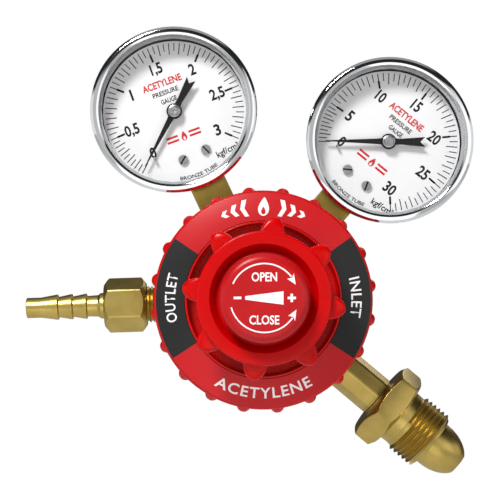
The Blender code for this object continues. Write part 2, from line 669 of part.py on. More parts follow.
def make_knob(frame):
    profile = [
        (0.0, KNOB_BOSS_TOP), (KNOB_BOSS_RADIUS, KNOB_BOSS_TOP), (KNOB_BOSS_RADIUS, KNOB_DISH),
        (KNOB_RIM_RADIUS - 5.6, KNOB_DISH), (KNOB_RIM_RADIUS - 4.1, KNOB_RIM),
        (KNOB_RIM_RADIUS - 0.5, KNOB_RIM), (KNOB_RIM_RADIUS, KNOB_RIM - 0.8),
        (KNOB_RIM_RADIUS, KNOB_RIM - 3.5), (KNOB_SKIRT_RADIUS, KNOB_RIM - 4.0),
        (KNOB_SKIRT_RADIUS, KNOB_BACK), (0.0, KNOB_BACK),
    ]
    knob = turned("knob", profile, frame, "knob_red", steps=28)

    def build(bm):
        for i in range(LOBE_COUNT):
            angle = LOBE_START + 360.0 * i / LOBE_COUNT
            add_post(bm, LOBE_HALF_WIDTH, LOBE_BACK, LOBE_FRONT,
                     polar(LOBE_RADIUS - LOBE_HEIGHT, angle), sides=12,
                     stretch=LOBE_HEIGHT / LOBE_HALF_WIDTH, turn=math.radians(angle))

    join(knob, mesh_from("knob_lobes", build, frame, group=CUTTERS))
    screw_hole = SCREW_END_RADIUS + GAP
    bore = [
        (0.0, KNOB_BOSS_TOP + OVERCUT), (KNOB_SOCKET_RADIUS, KNOB_BOSS_TOP + OVERCUT),
        (KNOB_SOCKET_RADIUS, KNOB_NUT_SEAT), (screw_hole, KNOB_NUT_SEAT),
        (screw_hole, SCREW_SHOULDER + GAP), (HUB_RADIUS + 1.0, SCREW_SHOULDER + GAP),
        (HUB_RADIUS + 1.0, KNOB_BACK - OVERCUT), (0.0, KNOB_BACK - OVERCUT),
    ]
    hollow = [
        (HUB_RADIUS, KNOB_WEB), (KNOB_SKIRT_BORE, KNOB_WEB),
        (KNOB_SKIRT_BORE, KNOB_BACK - OVERCUT), (HUB_RADIUS, KNOB_BACK - OVERCUT),
    ]
    cut(knob, turned("knob_bore", bore, frame, steps=16, group=CUTTERS))
    cut(knob, turned("knob_hollow", hollow, frame, steps=28, closed=True, group=CUTTERS))


def make_knob_fittings(frame):
    crown = CAP_CROWN
    profile = [(0.0, CAP_FRONT)]
    profile += [
        (CAP_RADIUS - crown * (1.0 - math.sin(a)), CAP_FRONT - crown * (1.0 - math.cos(a)))
        for a in (math.radians(22.5 * i) for i in range(5))
    ]
    bore = KNOB_BOSS_RADIUS + GAP
    profile += [
        (CAP_RADIUS, KNOB_DISH + GAP), (bore, KNOB_DISH + GAP), (bore, CAP_FRONT - CAP_CROWN),
        (0.0, CAP_FRONT - CAP_CROWN),
    ]
    turned("knob_cap", profile, frame, "label", steps=28)
    low = KNOB_NUT_SEAT + GAP
    nut = prism("knob_nut", 6, KNOB_NUT_HEX, low, low + KNOB_NUT_HEIGHT, frame, "steel")
    cut(nut, post("knob_nut_bore", SCREW_END_RADIUS + GAP, low - OVERCUT,
                  low + KNOB_NUT_HEIGHT + OVERCUT, frame, group=CUTTERS))
    screw = [
        (0.0, SCREW_END), (SCREW_END_RADIUS - 0.4, SCREW_END),
        (SCREW_END_RADIUS, SCREW_END - 0.4), (SCREW_END_RADIUS, SCREW_SHOULDER),
        (SCREW_RADIUS, SCREW_SHOULDER), (SCREW_RADIUS, SCREW_TIP + 0.8),
        (SCREW_RADIUS - 0.8, SCREW_TIP), (0.0, SCREW_TIP),
    ]
    turned("adjusting_screw", screw, frame, "steel", steps=16)


def make_spring(frame):
    seat = SPRING_CHAMBER_TOP - 2.8
    dimple = SCREW_RADIUS + 0.4
    profile = [
        (0.0, SCREW_TIP - GAP), (dimple, SCREW_TIP - GAP), (dimple, SPRING_CHAMBER_TOP - GAP),
        (dimple + 3.6, SPRING_CHAMBER_TOP - GAP), (BUTTON_RADIUS, SPRING_CHAMBER_TOP - 1.4),
        (BUTTON_RADIUS, seat), (PILOT_RADIUS, seat), (PILOT_RADIUS, seat - PILOT_HEIGHT),
        (0.0, seat - PILOT_HEIGHT),
    ]
    turned("spring_button", profile, frame, "steel", steps=20)
    coil("main_spring", SPRING_WIRE, SPRING_RADIUS, SPRING_PLATE_FRONT + GAP, seat - GAP,
         SPRING_TURNS, 12, 2, frame, "steel")


# ---------------------------------------------------------------- inlet and outlet

def nose_outline():
    """The inlet nose from its tip to its shoulder, a quarter of an ellipse."""
    length = NOSE_TIP - NOSE_SHOULDER
    full = NOSE_RADIUS
    start = math.acos(NOSE_TIP_RADIUS / full)
    points = []
    for i in range(6):
        a = start * (1.0 - i / 5.0)
        points.append((full * math.cos(a), NOSE_SHOULDER + length * math.sin(a) / math.sin(start)))
    return points


def make_inlet(frame):
    profile = [(0.0, NOSE_TIP)] + nose_outline() + [
        (NOSE_RADIUS, NOSE_BACK), (SHANK_RADIUS, NOSE_BACK),
        (SHANK_RADIUS, INLET_NUT_REAR - 2.0), (PORT_THREAD_RADIUS, BOSS_REACH + 1.0),
        (PORT_THREAD_RADIUS, PORT_BORE_REACH + GAP), (0.0, PORT_BORE_REACH + GAP),
    ]
    nipple = turned("inlet_nipple", profile, frame, "brass", steps=20)
    bar = prism("inlet_bar", 8, INLET_SHANK_FLATS, BOSS_REACH + 1.0, INLET_NUT_REAR - 0.5, frame,
                turn=INLET_SHANK_TURN, group=CUTTERS)
    join(nipple, bar)
    cut(nipple, post("inlet_gas_bore", GAS_BORE, PORT_BORE_REACH - OVERCUT, NOSE_TIP + OVERCUT,
                     frame, sides=12, group=CUTTERS))
    filter_start = BOSS_REACH + 8.0
    ring("inlet_filter", FILTER_BORE, GAS_BORE - GAP, filter_start, filter_start + FILTER_LENGTH, frame,
         "bronze", steps=12)
    nut = prism("inlet_nut", 6, INLET_NUT_HEX, INLET_NUT_REAR, INLET_HEX_FRONT, frame,
                "machined_brass", turn=INLET_NUT_TURN)
    chamfered(nut, "inlet_nut_corners", INLET_NUT_HEX, INLET_NUT_REAR, INLET_HEX_FRONT)
    sleeve = [(0.0, INLET_NUT_END)]
    sleeve += thread(INLET_THREAD_RADIUS, INLET_THREAD_HEIGHT, INLET_THREAD_PITCH,
                     INLET_THREAD_START, INLET_NUT_END)
    sleeve += [(INLET_NECK_RADIUS, INLET_THREAD_START), (INLET_NECK_RADIUS, INLET_NUT_REAR + 3.0),
               (0.0, INLET_NUT_REAR + 3.0)]
    join(nut, turned("inlet_nut_sleeve", sleeve, frame, steps=20, group=CUTTERS))
    bore = [
        (0.0, INLET_NUT_END + OVERCUT), (NOSE_RADIUS + 0.4, INLET_NUT_END + OVERCUT),
        (NOSE_RADIUS + 0.4, NOSE_BACK - GAP), (SHANK_RADIUS + 0.4, NOSE_BACK - GAP),
        (SHANK_RADIUS + 0.4, INLET_NUT_REAR - OVERCUT), (0.0, INLET_NUT_REAR - OVERCUT),
    ]
    cut(nut, turned("inlet_nut_bore", bore, frame, steps=20, group=CUTTERS))


def make_outlet(frame):
    profile = [(0.0, OUTLET_SEAT)]
    profile += thread(OUTLET_THREAD_RADIUS, OUTLET_THREAD_HEIGHT, OUTLET_THREAD_PITCH,
                      OUTLET_FLANGE_END, OUTLET_SEAT)
    profile += [(PORT_THREAD_RADIUS, OUTLET_FLANGE_END - 0.5),
                (PORT_THREAD_RADIUS, PORT_BORE_REACH + GAP), (0.0, PORT_BORE_REACH + GAP)]
    fitting = turned("outlet_fitting", profile, frame, "machined_brass", steps=16)
    join(fitting, prism("outlet_flange", 6, OUTLET_FLANGE_HEX, BOSS_REACH + 1.0,
                        OUTLET_FLANGE_END, frame, group=CUTTERS))
    cone = OUTLET_SEAT - 3.0
    bore = [
        (0.0, OUTLET_SEAT + 1.0), (SEAT_MOUTH + 0.9, OUTLET_SEAT + 1.0),
        (SEAT_MOUTH, OUTLET_SEAT), (SEAT_MOUTH - SEAT_CONE, cone + 0.6),
        (SEAT_MOUTH - SEAT_CONE, PORT_BORE_REACH - OVERCUT),
        (0.0, PORT_BORE_REACH - OVERCUT),
    ]
    cut(fitting, turned("outlet_bore", bore, frame, steps=16, group=CUTTERS))
    nut = prism("outlet_nut", 6, OUTLET_NUT_HEX, OUTLET_NUT_REAR, OUTLET_NUT_END, frame,
                "machined_brass", turn=OUTLET_NUT_TURN)
    chamfered(nut, "outlet_nut_corners", OUTLET_NUT_HEX, OUTLET_NUT_REAR, OUTLET_NUT_END, 0.9)
    wall = OUTLET_NUT_END - OUTLET_NUT_WALL
    hollow = [
        (0.0, OUTLET_NUT_END + OVERCUT), (HOSE_NECK + 0.35, OUTLET_NUT_END + OVERCUT),
        (HOSE_NECK + 0.35, wall), (OUTLET_THREAD_RADIUS + GAP, wall),
        (OUTLET_THREAD_RADIUS + GAP, OUTLET_NUT_REAR - OVERCUT), (0.0, OUTLET_NUT_REAR - OVERCUT),
    ]
    cut(nut, turned("outlet_nut_bore", hollow, frame, steps=16, group=CUTTERS))
    make_hose_nipple(frame, wall)


def make_hose_nipple(frame, wall):
    flange_back = wall - GAP
    seat = OUTLET_SEAT + 0.4
    first = BARB_FIRST + BARB_STEP * (BARB_COUNT - 1)
    lead = BARB_ROOT - 0.05
    profile = [(HOSE_BORE, HOSE_TIP), (lead - 0.3, HOSE_TIP), (lead, HOSE_TIP - 0.3),
               (lead, HOSE_TIP - LEAD_LENGTH)]
    for i in range(BARB_COUNT):
        crest = first - i * BARB_STEP
        profile += [(BARB_CREST, crest + 0.2), (BARB_CREST, crest - 0.1),
                    (BARB_ROOT, crest - 0.4)]
    profile += [
        (HOSE_NECK - 0.7, OUTLET_NUT_END + 2.3), (HOSE_NECK, OUTLET_NUT_END + 1.4),
        (HOSE_NECK, flange_back), (HOSE_FLANGE_RADIUS, flange_back), (HOSE_FLANGE_RADIUS, seat),
        (SEAT_MOUTH - 0.45, OUTLET_SEAT), (SEAT_MOUTH - 2.75, OUTLET_SEAT - 2.3),
        (HOSE_BORE, OUTLET_SEAT - 2.3),
    ]
    turned("hose_nipple", profile, frame, "brass", steps=16, closed=True)


# ---------------------------------------------------------------- gauges

def make_gauge(name, spec):
    """One pressure gauge in its own frame: local Y runs out along its stem."""
    out = direction(spec["direction"])
    side = direction(spec["direction"] + 90.0)
    centre = BACK_POINT + (out * spec["reach"] + side * spec["offset"]) * MM
    frame = depth_frame(name + "_frame", centre, out)
    zero = spec["zero"] - (spec["direction"] - 90.0)
    make_gauge_case(name, frame)
    make_gauge_socket(name, frame, spec["reach"])
    make_dial(name, frame, zero)
    make_movement_frame(name, frame)
    make_bourdon_tube(name, frame)
    make_sector(name, frame)
    make_pointer(name, frame, zero)


def make_gauge_case(name, frame):
    inside = CASE_RADIUS - CASE_WALL
    profile = [
        (0.0, CASE_BACK + CASE_WALL), (inside - CASE_ROUND, CASE_BACK + CASE_WALL),
        (inside, CASE_BACK + CASE_ROUND), (inside, CASE_FRONT), (CASE_RADIUS, CASE_FRONT),
        (CASE_RADIUS, CASE_BACK + CASE_ROUND), (CASE_RADIUS - CASE_ROUND, CASE_BACK),
        (0.0, CASE_BACK),
    ]
    case = turned(name + "_case", profile, frame, "steel", steps=28)
    half = SHANK_SQUARE / 2.0 + GAP
    cut(case, box(name + "_stem_hole", (-half, -CASE_RADIUS - OVERCUT, PORT_DEPTH - half),
                  (half, -CASE_RADIUS + 6.0, PORT_DEPTH + half), frame, group=CUTTERS))
    lip = BEZEL_FRONT - BEZEL_LIP
    bore = CASE_RADIUS + GAP
    bezel = [
        (BEZEL_SIGHT, BEZEL_FRONT), (BEZEL_RADIUS - 1.0, BEZEL_FRONT),
        (BEZEL_RADIUS, BEZEL_FRONT - 1.0), (BEZEL_RADIUS, BEZEL_BACK), (bore, BEZEL_BACK),
        (bore, lip), (BEZEL_SIGHT, lip),
    ]
    turned(name + "_bezel", bezel, frame, "chrome", steps=28, closed=True)
    gasket = CASE_FRONT + GAP
    ring(name + "_window_gasket", CASE_RADIUS - GASKET_WIDTH, CASE_RADIUS, gasket,
         gasket + GASKET_THICKNESS, frame, "rubber", steps=28)
    window = gasket + GASKET_THICKNESS + GAP
    disc(name + "_window", CASE_RADIUS, window, window + WINDOW_THICKNESS, frame, "clear",
         steps=28)


def make_gauge_socket(name, frame, reach):
    half = SHANK_SQUARE / 2.0
    start = SHANK_START - reach
    stem = box(name + "_socket", (-half, start, PORT_DEPTH - half),
               (half, -CASE_RADIUS + 3.0, PORT_DEPTH + half), frame, "brass")
    join(stem, box(name + "_socket_block",
                   (-BLOCK_HALF_WIDTH, -CASE_RADIUS + 2.0, PORT_DEPTH - 5.0),
                   (BLOCK_HALF_WIDTH, BLOCK_TOP, FRAME_FRONT - GAP), frame, group=CUTTERS))
    along = Matrix.Translation((0.0, 0.0, PORT_DEPTH * MM)) @ Matrix.Rotation(
        math.radians(-90.0), 4, "X")
    end = PORT_BORE_REACH + GAP - reach
    for label, radius, low, high, operation in (
        ("_socket_thread", PORT_THREAD_RADIUS, end, start + 1.0, "UNION"),
        ("_socket_bore", SOCKET_BORE, end - OVERCUT, BLOCK_TOP - 2.0, "DIFFERENCE"),
    ):
        tool = post(name + label, radius, low, high, frame, sides=20, group=CUTTERS)
        tool.data.transform(along)
        combine(stem, operation, tool)


def make_dial(name, frame, zero):
    holes = [circle(ARBOR_RADIUS + 0.9, 10)]
    pin = polar(STOP_PIN_PITCH, zero + STOP_PIN_LEAD)
    holes.append(circle(STOP_PIN_RADIUS + GAP, 8, pin))
    screws = ((-DIAL_SCREW_X, DIAL_SCREW_Y), (DIAL_SCREW_X, DIAL_SCREW_Y))
    holes += [circle(DIAL_SCREW_SHANK + GAP, 8, spot) for spot in screws]
    front = DIAL_BACK + DIAL_THICKNESS
    plate(name + "_dial", [circle(DIAL_RADIUS, 36)] + holes, DIAL_BACK, front, frame,
          "dial_white")
    post(name + "_stop_pin", STOP_PIN_RADIUS, DIAL_BACK - 1.0, POINTER_BACK + 0.7, frame,
         "machined_brass", centre=pin, sides=10)
    for i, (spot, turn) in enumerate(zip(screws, DIAL_SCREW_TURNS), start=1):
        at = add_frame(f"{name}_dial_screw_{i}_at", Vector(), Vector((1, 0, 0)),
                       Vector((0, 1, 0)), Vector((0, 0, 1)))
        at.parent = frame
        at.matrix_local = Matrix.Translation((spot[0] * MM, spot[1] * MM, 0.0)) @ (
            Matrix.Rotation(math.radians(turn), 4, "Z"))
        low = front + GAP
        head = [(0.0, low + 0.8), (DIAL_SCREW_HEAD - 0.3, low + 0.8), (DIAL_SCREW_HEAD, low + 0.5),
                (DIAL_SCREW_HEAD, low), (DIAL_SCREW_SHANK, low), (DIAL_SCREW_SHANK, FRAME_FRONT),
                (0.0, FRAME_FRONT)]
        screw = turned(f"{name}_dial_screw_{i}", head, at, "steel", steps=14)
        cut(screw, box(f"{name}_dial_slot_{i}", (-3.0, -0.28, low + 0.4), (3.0, 0.28, low + 2.0),
                       at, group=CUTTERS))


def make_movement_frame(name, frame):
    half = FRAME_WIDTH / 2.0
    holes = [circle(ARBOR_RADIUS + GAP, 8), circle(ARBOR_RADIUS + GAP, 8, SECTOR_PIVOT)]
    screws = [circle(DIAL_SCREW_SHANK + GAP, 8, (x, DIAL_SCREW_Y))
              for x in (-DIAL_SCREW_X, DIAL_SCREW_X)]
    bottom = DIAL_SCREW_Y - 2.2
    front = [(-half, FRAME_TOP), (-half, -13.0), (-6.5, bottom), (6.5, bottom), (half, -13.0),
             (half, FRAME_TOP)]
    back = [(-half, FRAME_TOP), (-half, -14.0), (half, -14.0), (half, FRAME_TOP)]
    top = plate(name + "_movement_frame", [front] + holes + screws, FRAME_FRONT,
                FRAME_FRONT + FRAME_PLATE, frame, "brass")
    low = plate(name + "_movement_back", [back] + holes, FRAME_BACK, FRAME_BACK + FRAME_PLATE,
                frame, "brass")
    join(top, low)
    for side in (-1.0, 1.0):
        join(top, post(f"{name}_pillar_{'left' if side < 0 else 'right'}", 1.4,
                       FRAME_BACK + 0.5, FRAME_FRONT + 0.5, frame,
                       centre=(side * (half - 2.0), FRAME_TOP - 2.5), sides=10, group=CUTTERS))


def make_bourdon_tube(name, frame):
    curve = bpy.data.curves.new(name + "_tube", "CURVE")
    curve.dimensions = "3D"
    curve.bevel_depth = TUBE_HALF_WALL * MM
    curve.bevel_resolution = 2
    curve.use_fill_caps = True
    spline = curve.splines.new("POLY")
    route = arc(TUBE_RADIUS, TUBE_START, TUBE_END, 24)
    spline.points.add(len(route) - 1)
    for point, (x, y) in zip(spline.points, route):
        point.co = (x * MM, y * MM, 0.0, 1.0)
    tube = mesh_of_curve(name + "_bourdon_tube", curve, frame, "bronze",
                         scale=(1.0, 1.0, TUBE_HALF_DEPTH / TUBE_HALF_WALL))
    tube.data.transform(Matrix.Translation((0.0, 0.0, PORT_DEPTH * MM)))
    smooth(tube, 60.0)
    x, y = polar(TUBE_RADIUS, TUBE_END)
    join(tube, box(name + "_tube_tip", (x - 1.6, y - 3.0, PORT_DEPTH - 1.5),
                   (x + 1.6, y + 0.6, LINK_BACK - GAP), frame, group=CUTTERS))


def make_sector(name, frame):
    """The toothed sector with its staff, and the link that its tail drives."""
    pivot = add_frame(name + "_sector_pivot", Vector(), Vector((1, 0, 0)), Vector((0, 1, 0)),
                      Vector((0, 0, 1)))
    pivot.parent = frame
    pivot.matrix_local = Matrix.Translation((SECTOR_PIVOT[0] * MM, SECTOR_PIVOT[1] * MM, 0.0))
    to_arbor = math.degrees(math.atan2(-SECTOR_PIVOT[1], -SECTOR_PIVOT[0]))
    tail = polar(TAIL_LENGTH, TAIL_ANGLE)
    outline = arc(SECTOR_RADIUS, to_arbor - 27.0, to_arbor + 3.0, 7)
    outline += arc(2.2, 75.0, 320.0, 9)
    outline += arc(LINK_HALF_WIDTH, TAIL_ANGLE - 90.0, TAIL_ANGLE + 90.0, 6, tail)
    outline.append((3.4, 0.4))
    top = SECTOR_BACK + SECTOR_THICKNESS
    sector = plate(name + "_sector", [outline], SECTOR_BACK, top, pivot, "brass")
    join(sector, post(name + "_sector_staff", ARBOR_RADIUS, FRAME_BACK + 0.2,
                      FRAME_FRONT + FRAME_PLATE - 0.2, pivot, sides=10, group=CUTTERS))
    join(sector, post(name + "_sector_pin", LINK_PIN_RADIUS, SECTOR_BACK + 0.3, LINK_BACK + 1.0, pivot,
                      centre=tail, sides=8, group=CUTTERS))
    pin = add_frame(name + "_link_pin", Vector(), Vector((1, 0, 0)), Vector((0, 1, 0)),
                    Vector((0, 0, 1)))
    pin.parent = frame
    start = (SECTOR_PIVOT[0] + tail[0], SECTOR_PIVOT[1] + tail[1])
    pin.matrix_local = Matrix.Translation((start[0] * MM, start[1] * MM, 0.0))
    tip = polar(TUBE_RADIUS, TUBE_END)
    span = (tip[0] - start[0], tip[1] - start[1])
    lean = math.degrees(math.atan2(span[1], span[0]))
    bar = arc(LINK_HALF_WIDTH, lean + 90.0, lean + 270.0, 7)
    bar += arc(LINK_HALF_WIDTH, lean - 90.0, lean + 90.0, 7, span)
    plate(name + "_link", [bar, circle(LINK_PIN_RADIUS + GAP, 8)], LINK_BACK, LINK_BACK + 0.6, pin, "brass")


def make_pointer(name, frame, zero):
    """The pointer, its cap and the arbor that carries them, at the zero mark."""
    spindle = add_frame(name + "_arbor_axis", Vector(), Vector((1, 0, 0)), Vector((0, 1, 0)),
                        Vector((0, 0, 1)))
    spindle.parent = frame
    spindle.matrix_local = Matrix.Rotation(math.radians(zero), 4, "Z")
    half = POINTER_TAIL_WIDTH / 2.0
    outline = [(POINTER_REACH, -0.15), (POINTER_REACH, 0.15)]
    outline += arc(POINTER_HUB, 22.0, 158.0, 8)
    outline += [(-POINTER_TAIL, half), (half - POINTER_TAIL, 0.0), (-POINTER_TAIL, -half)]
    outline += arc(POINTER_HUB, 202.0, 338.0, 8)
    front = POINTER_BACK + POINTER_THICKNESS
    plate(name + "_pointer", [outline, circle(ARBOR_RADIUS + GAP, 10)], POINTER_BACK, front,
          spindle, "black")
    low = front + GAP
    cap = [(0.0, low + 1.2), (POINTER_CAP_RADIUS - 0.6, low + 1.2),
           (POINTER_CAP_RADIUS, low + 0.8), (POINTER_CAP_RADIUS, low),
           (ARBOR_RADIUS + GAP, low), (ARBOR_RADIUS + GAP, low + 0.8), (0.0, low + 0.8)]
    turned(name + "_pointer_cap", cap, spindle, "steel", steps=16)
    middle = SECTOR_BACK + SECTOR_THICKNESS / 2.0
    arbor = [
        (0.0, low + 0.5), (ARBOR_RADIUS, low + 0.5), (ARBOR_RADIUS, middle + 1.4),
        (PINION_RADIUS, middle + 1.4), (PINION_RADIUS, middle - 1.4), (ARBOR_RADIUS, middle - 1.4),
        (ARBOR_RADIUS, FRAME_BACK - 0.7), (0.0, FRAME_BACK - 0.7),
    ]
    turned(name + "_arbor", arbor, spindle, "steel", steps=10)


# ---------------------------------------------------------------- the regulator

clear_scene()
PARTS = make_collection("gas_regulator")
CUTTERS = make_collection("cutters")
MATERIALS = {name: make_material(name) for name in FINISHES}


def main():
    axis = depth_frame("knob_axis")
    ports = {
        "inlet": port_frame("inlet_port", INLET_ANGLE),
        "outlet": port_frame("outlet_port", OUTLET_ANGLE),
    }
    for name, spec in GAUGES.items():
        ports[name] = port_frame(name + "_port", spec["direction"], spec["offset"])
    make_body(axis, ports)
    make_back_plug(axis)
    make_nozzle(axis)
    make_valve(axis)
    make_diaphragm(axis)
    make_bonnet(axis)
    make_cover(axis)
    make_knob(axis)
    make_knob_fittings(axis)
    make_spring(axis)
    make_inlet(ports["inlet"])
    make_outlet(ports["outlet"])
    for name, spec in GAUGES.items():
        make_gauge(name, spec)


main()
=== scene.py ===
"""Looks of a two-gauge gas regulator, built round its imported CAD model.

Sizes are in millimetres and angles in degrees; MM turns millimetres into metres.
Depth is measured from the back plug's flat face towards the knob, and reach is
measured along a port from the knob axis. Every finished mesh is placed in the
frame of the CAD model, and its object stays at the origin.
"""
import json
import logging
import math
from collections.abc import Callable, Sequence
from dataclasses import dataclass, field
from enum import Enum

import bmesh
import bpy
from mathutils import Matrix, Vector

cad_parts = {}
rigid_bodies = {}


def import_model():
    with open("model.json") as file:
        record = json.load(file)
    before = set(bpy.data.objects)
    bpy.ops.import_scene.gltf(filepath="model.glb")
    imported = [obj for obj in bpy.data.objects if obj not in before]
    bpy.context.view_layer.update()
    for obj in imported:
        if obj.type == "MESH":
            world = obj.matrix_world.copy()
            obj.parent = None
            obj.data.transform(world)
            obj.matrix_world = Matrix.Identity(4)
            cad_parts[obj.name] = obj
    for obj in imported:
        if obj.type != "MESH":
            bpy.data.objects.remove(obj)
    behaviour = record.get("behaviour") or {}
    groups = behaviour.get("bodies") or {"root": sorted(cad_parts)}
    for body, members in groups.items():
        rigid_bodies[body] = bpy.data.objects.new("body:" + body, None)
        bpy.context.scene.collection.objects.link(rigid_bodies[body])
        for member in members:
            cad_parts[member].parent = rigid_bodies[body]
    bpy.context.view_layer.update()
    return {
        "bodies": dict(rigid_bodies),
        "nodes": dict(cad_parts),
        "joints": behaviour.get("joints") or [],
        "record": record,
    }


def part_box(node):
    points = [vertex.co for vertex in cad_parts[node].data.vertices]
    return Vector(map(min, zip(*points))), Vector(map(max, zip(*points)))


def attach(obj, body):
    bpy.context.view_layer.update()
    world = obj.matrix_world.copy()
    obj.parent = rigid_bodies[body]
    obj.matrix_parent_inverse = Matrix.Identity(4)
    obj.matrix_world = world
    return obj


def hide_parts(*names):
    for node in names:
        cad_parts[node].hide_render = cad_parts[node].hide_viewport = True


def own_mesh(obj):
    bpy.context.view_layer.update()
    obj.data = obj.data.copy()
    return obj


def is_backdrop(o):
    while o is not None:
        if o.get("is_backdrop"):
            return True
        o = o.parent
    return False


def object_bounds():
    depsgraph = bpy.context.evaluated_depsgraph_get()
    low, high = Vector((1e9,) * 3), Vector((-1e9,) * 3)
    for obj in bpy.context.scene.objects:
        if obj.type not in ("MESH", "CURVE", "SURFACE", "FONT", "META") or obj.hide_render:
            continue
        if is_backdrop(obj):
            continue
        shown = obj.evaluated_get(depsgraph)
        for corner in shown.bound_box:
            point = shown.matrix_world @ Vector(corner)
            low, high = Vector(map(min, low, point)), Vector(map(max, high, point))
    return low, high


LOG = logging.getLogger("gas_regulator")
MM = 0.001
FRONT = Vector((0.0, -1.0, 0.0))
WELD = 0.0005               # merge distance of built shapes, in millimetres
INK = 0.05                  # thickness of a printed film
PORT_THREAD = 6.4           # radius of the threads that go into the body
PORT_FLOOR = 17.3           # reach at which those threads end
CREASE = 35.0               # an edge past this angle, in degrees, looks sharp
MILLED = 70.0               # how crisp the corners of a milled hexagon are
DRAWN = 48.0                # how crisp the corners of drawn square bar are

Corner = tuple[float, ...]   # radius, height and, where it is rounded, its rounding
Profile = Sequence[Corner] | Callable[[float], Sequence[Corner]]


# ---------------------------------------------------------------- small tools

def linear(code: str) -> tuple[float, float, float, float]:
    """Turns an sRGB hex colour into linear values.

    Args:
        code: Six hex digits, with or without a leading hash.

    Returns:
        Red, green, blue and an alpha of 1.
    """
    digits = code.lstrip("#")
    values = [int(digits[i:i + 2], 16) / 255.0 for i in (0, 2, 4)]
    red, green, blue = (
        v / 12.92 if v <= 0.04045 else ((v + 0.055) / 1.055) ** 2.4 for v in values
    )
    return (red, green, blue, 1.0)


def add_node(
    tree: bpy.types.NodeTree,
    kind: str,
    inputs: dict[str | int, object] | None = None,
    **settings: object,
) -> bpy.types.Node:
    """Adds a node with its settings, values and links.

    Args:
        tree: The shader or geometry tree.
        kind: The node's type.
        inputs: Each input, by name or number, with its value or the socket it comes from.
        **settings: The node's own settings.

    Returns:
        The new node.
    """
    made = tree.nodes.new(kind)
    for key, value in settings.items():
        setattr(made, key, value)
    for key, value in (inputs or {}).items():
        if isinstance(value, bpy.types.NodeSocket):
            tree.links.new(value, made.inputs[key])
        else:
            made.inputs[key].default_value = value
    return made


def polar(radius: float, angle: float) -> tuple[float, float]:
    """Flat coordinates of a point given by its radius and angle."""
    turn = math.radians(angle)
    return (radius * math.cos(turn), radius * math.sin(turn))


def smooth_step(value: float) -> float:
    """Eases a value from 0 to 1, and holds it outside that range."""
    held = min(max(value, 0.0), 1.0)
    return held * held * (3.0 - 2.0 * held)


@dataclass(frozen=True)
class Stand:
    """A local frame for pieces: local Z runs along out and local Y along up.

    Attributes:
        origin: Its place, in metres.
        out: Unit vector of local Z.
        up: Unit vector of local Y.
    """

    origin: Vector
    out: Vector
    up: Vector

    def matrix(self) -> Matrix:
        """The matrix from local millimetres to the frame's metres."""
        turn = Matrix((self.up.cross(self.out), self.up, self.out)).transposed().to_4x4()
        return Matrix.Translation(self.origin) @ turn @ Matrix.Scale(MM, 4)

    def angle_of(self, point: Vector) -> float:
        """The angle of a point about local Z, anticlockwise from local X."""
        away = point - self.origin
        return math.degrees(math.atan2(away.dot(self.up), away.dot(self.up.cross(self.out))))


# ---------------------------------------------------------------- finishes

@dataclass(frozen=True)
class Finish:
    """One real material and how its surface was made.

    Attributes:
        name: The material's name.
        colour: Its usual colour, sRGB hex.
        shade: The colour that it drifts to.
        roughness: Its middle roughness.
        spread: How much the roughness varies.
        metallic: 1 for bare metal.
        patch: Size of its drifts in colour.
        grain: Size of its fine relief.
        relief: Depth of that relief.
        gloss: How strongly a plastic or paint mirrors, half being usual.
    """

    name: str
    colour: str
    shade: str
    roughness: float
    spread: float = 0.06
    metallic: float = 0.0
    patch: float = 9.0
    grain: float = 0.5
    relief: float = 0.01
    gloss: float = 0.5

    def start(self) -> tuple[bpy.types.Material, bpy.types.NodeTree, bpy.types.Node]:
        """Makes the material with an empty tree and its shader.

        Returns:
            The material, its tree and its shader.
        """
        material = bpy.data.materials.new(self.name)
        material.use_nodes = True
        tree = material.node_tree
        tree.nodes.clear()
        shader = add_node(tree, "ShaderNodeBsdfPrincipled", {"Metallic": self.metallic})
        add_node(tree, "ShaderNodeOutputMaterial", {"Surface": shader.outputs["BSDF"]})
        if not self.metallic:
            shader.inputs["Specular IOR Level"].default_value = self.gloss
        return material, tree, shader

    def grain_place(self, tree: bpy.types.NodeTree) -> bpy.types.NodeSocket:
        """The coordinates that the fine relief is drawn on."""
        return add_node(tree, "ShaderNodeTexCoord").outputs["Object"]

    def dress(self, tree: bpy.types.NodeTree, shader: bpy.types.Node) -> None:
        """Adds drifts in colour and roughness, and the fine relief.

        Args:
            tree: The material's tree.
            shader: Its shader.
        """
        place = add_node(tree, "ShaderNodeTexCoord").outputs["Object"]
        drift = add_node(tree, "ShaderNodeTexNoise", {
            "Vector": place, "Scale": 1.0 / (self.patch * MM), "Detail": 4.0, "Roughness": 0.6,
        })
        blend = add_node(tree, "ShaderNodeMapRange", {
            "Value": drift.outputs["Fac"], "From Min": 0.32, "From Max": 0.72,
        })
        colour = add_node(tree, "ShaderNodeMix", {
            0: blend.outputs["Result"], 6: linear(self.colour), 7: linear(self.shade),
        }, data_type="RGBA")
        tree.links.new(colour.outputs[2], shader.inputs["Base Color"])
        grain = add_node(tree, "ShaderNodeTexNoise", {
            "Vector": self.grain_place(tree), "Scale": 1.0 / (self.grain * MM), "Detail": 3.0,
        })
        rough = add_node(tree, "ShaderNodeMapRange", {
            "Value": grain.outputs["Fac"], "From Min": 0.3, "From Max": 0.7,
            "To Min": self.roughness - self.spread, "To Max": self.roughness + self.spread,
        })
        tree.links.new(rough.outputs["Result"], shader.inputs["Roughness"])
        bump = add_node(tree, "ShaderNodeBump", {
            "Height": grain.outputs["Fac"], "Distance": self.relief * MM, "Strength": 1.0,
        })
        tree.links.new(bump.outputs["Normal"], shader.inputs["Normal"])

    def build(self) -> bpy.types.Material:
        """Makes the finished material.

        Returns:
            The material.
        """
        material, tree, shader = self.start()
        self.dress(tree, shader)
        return material


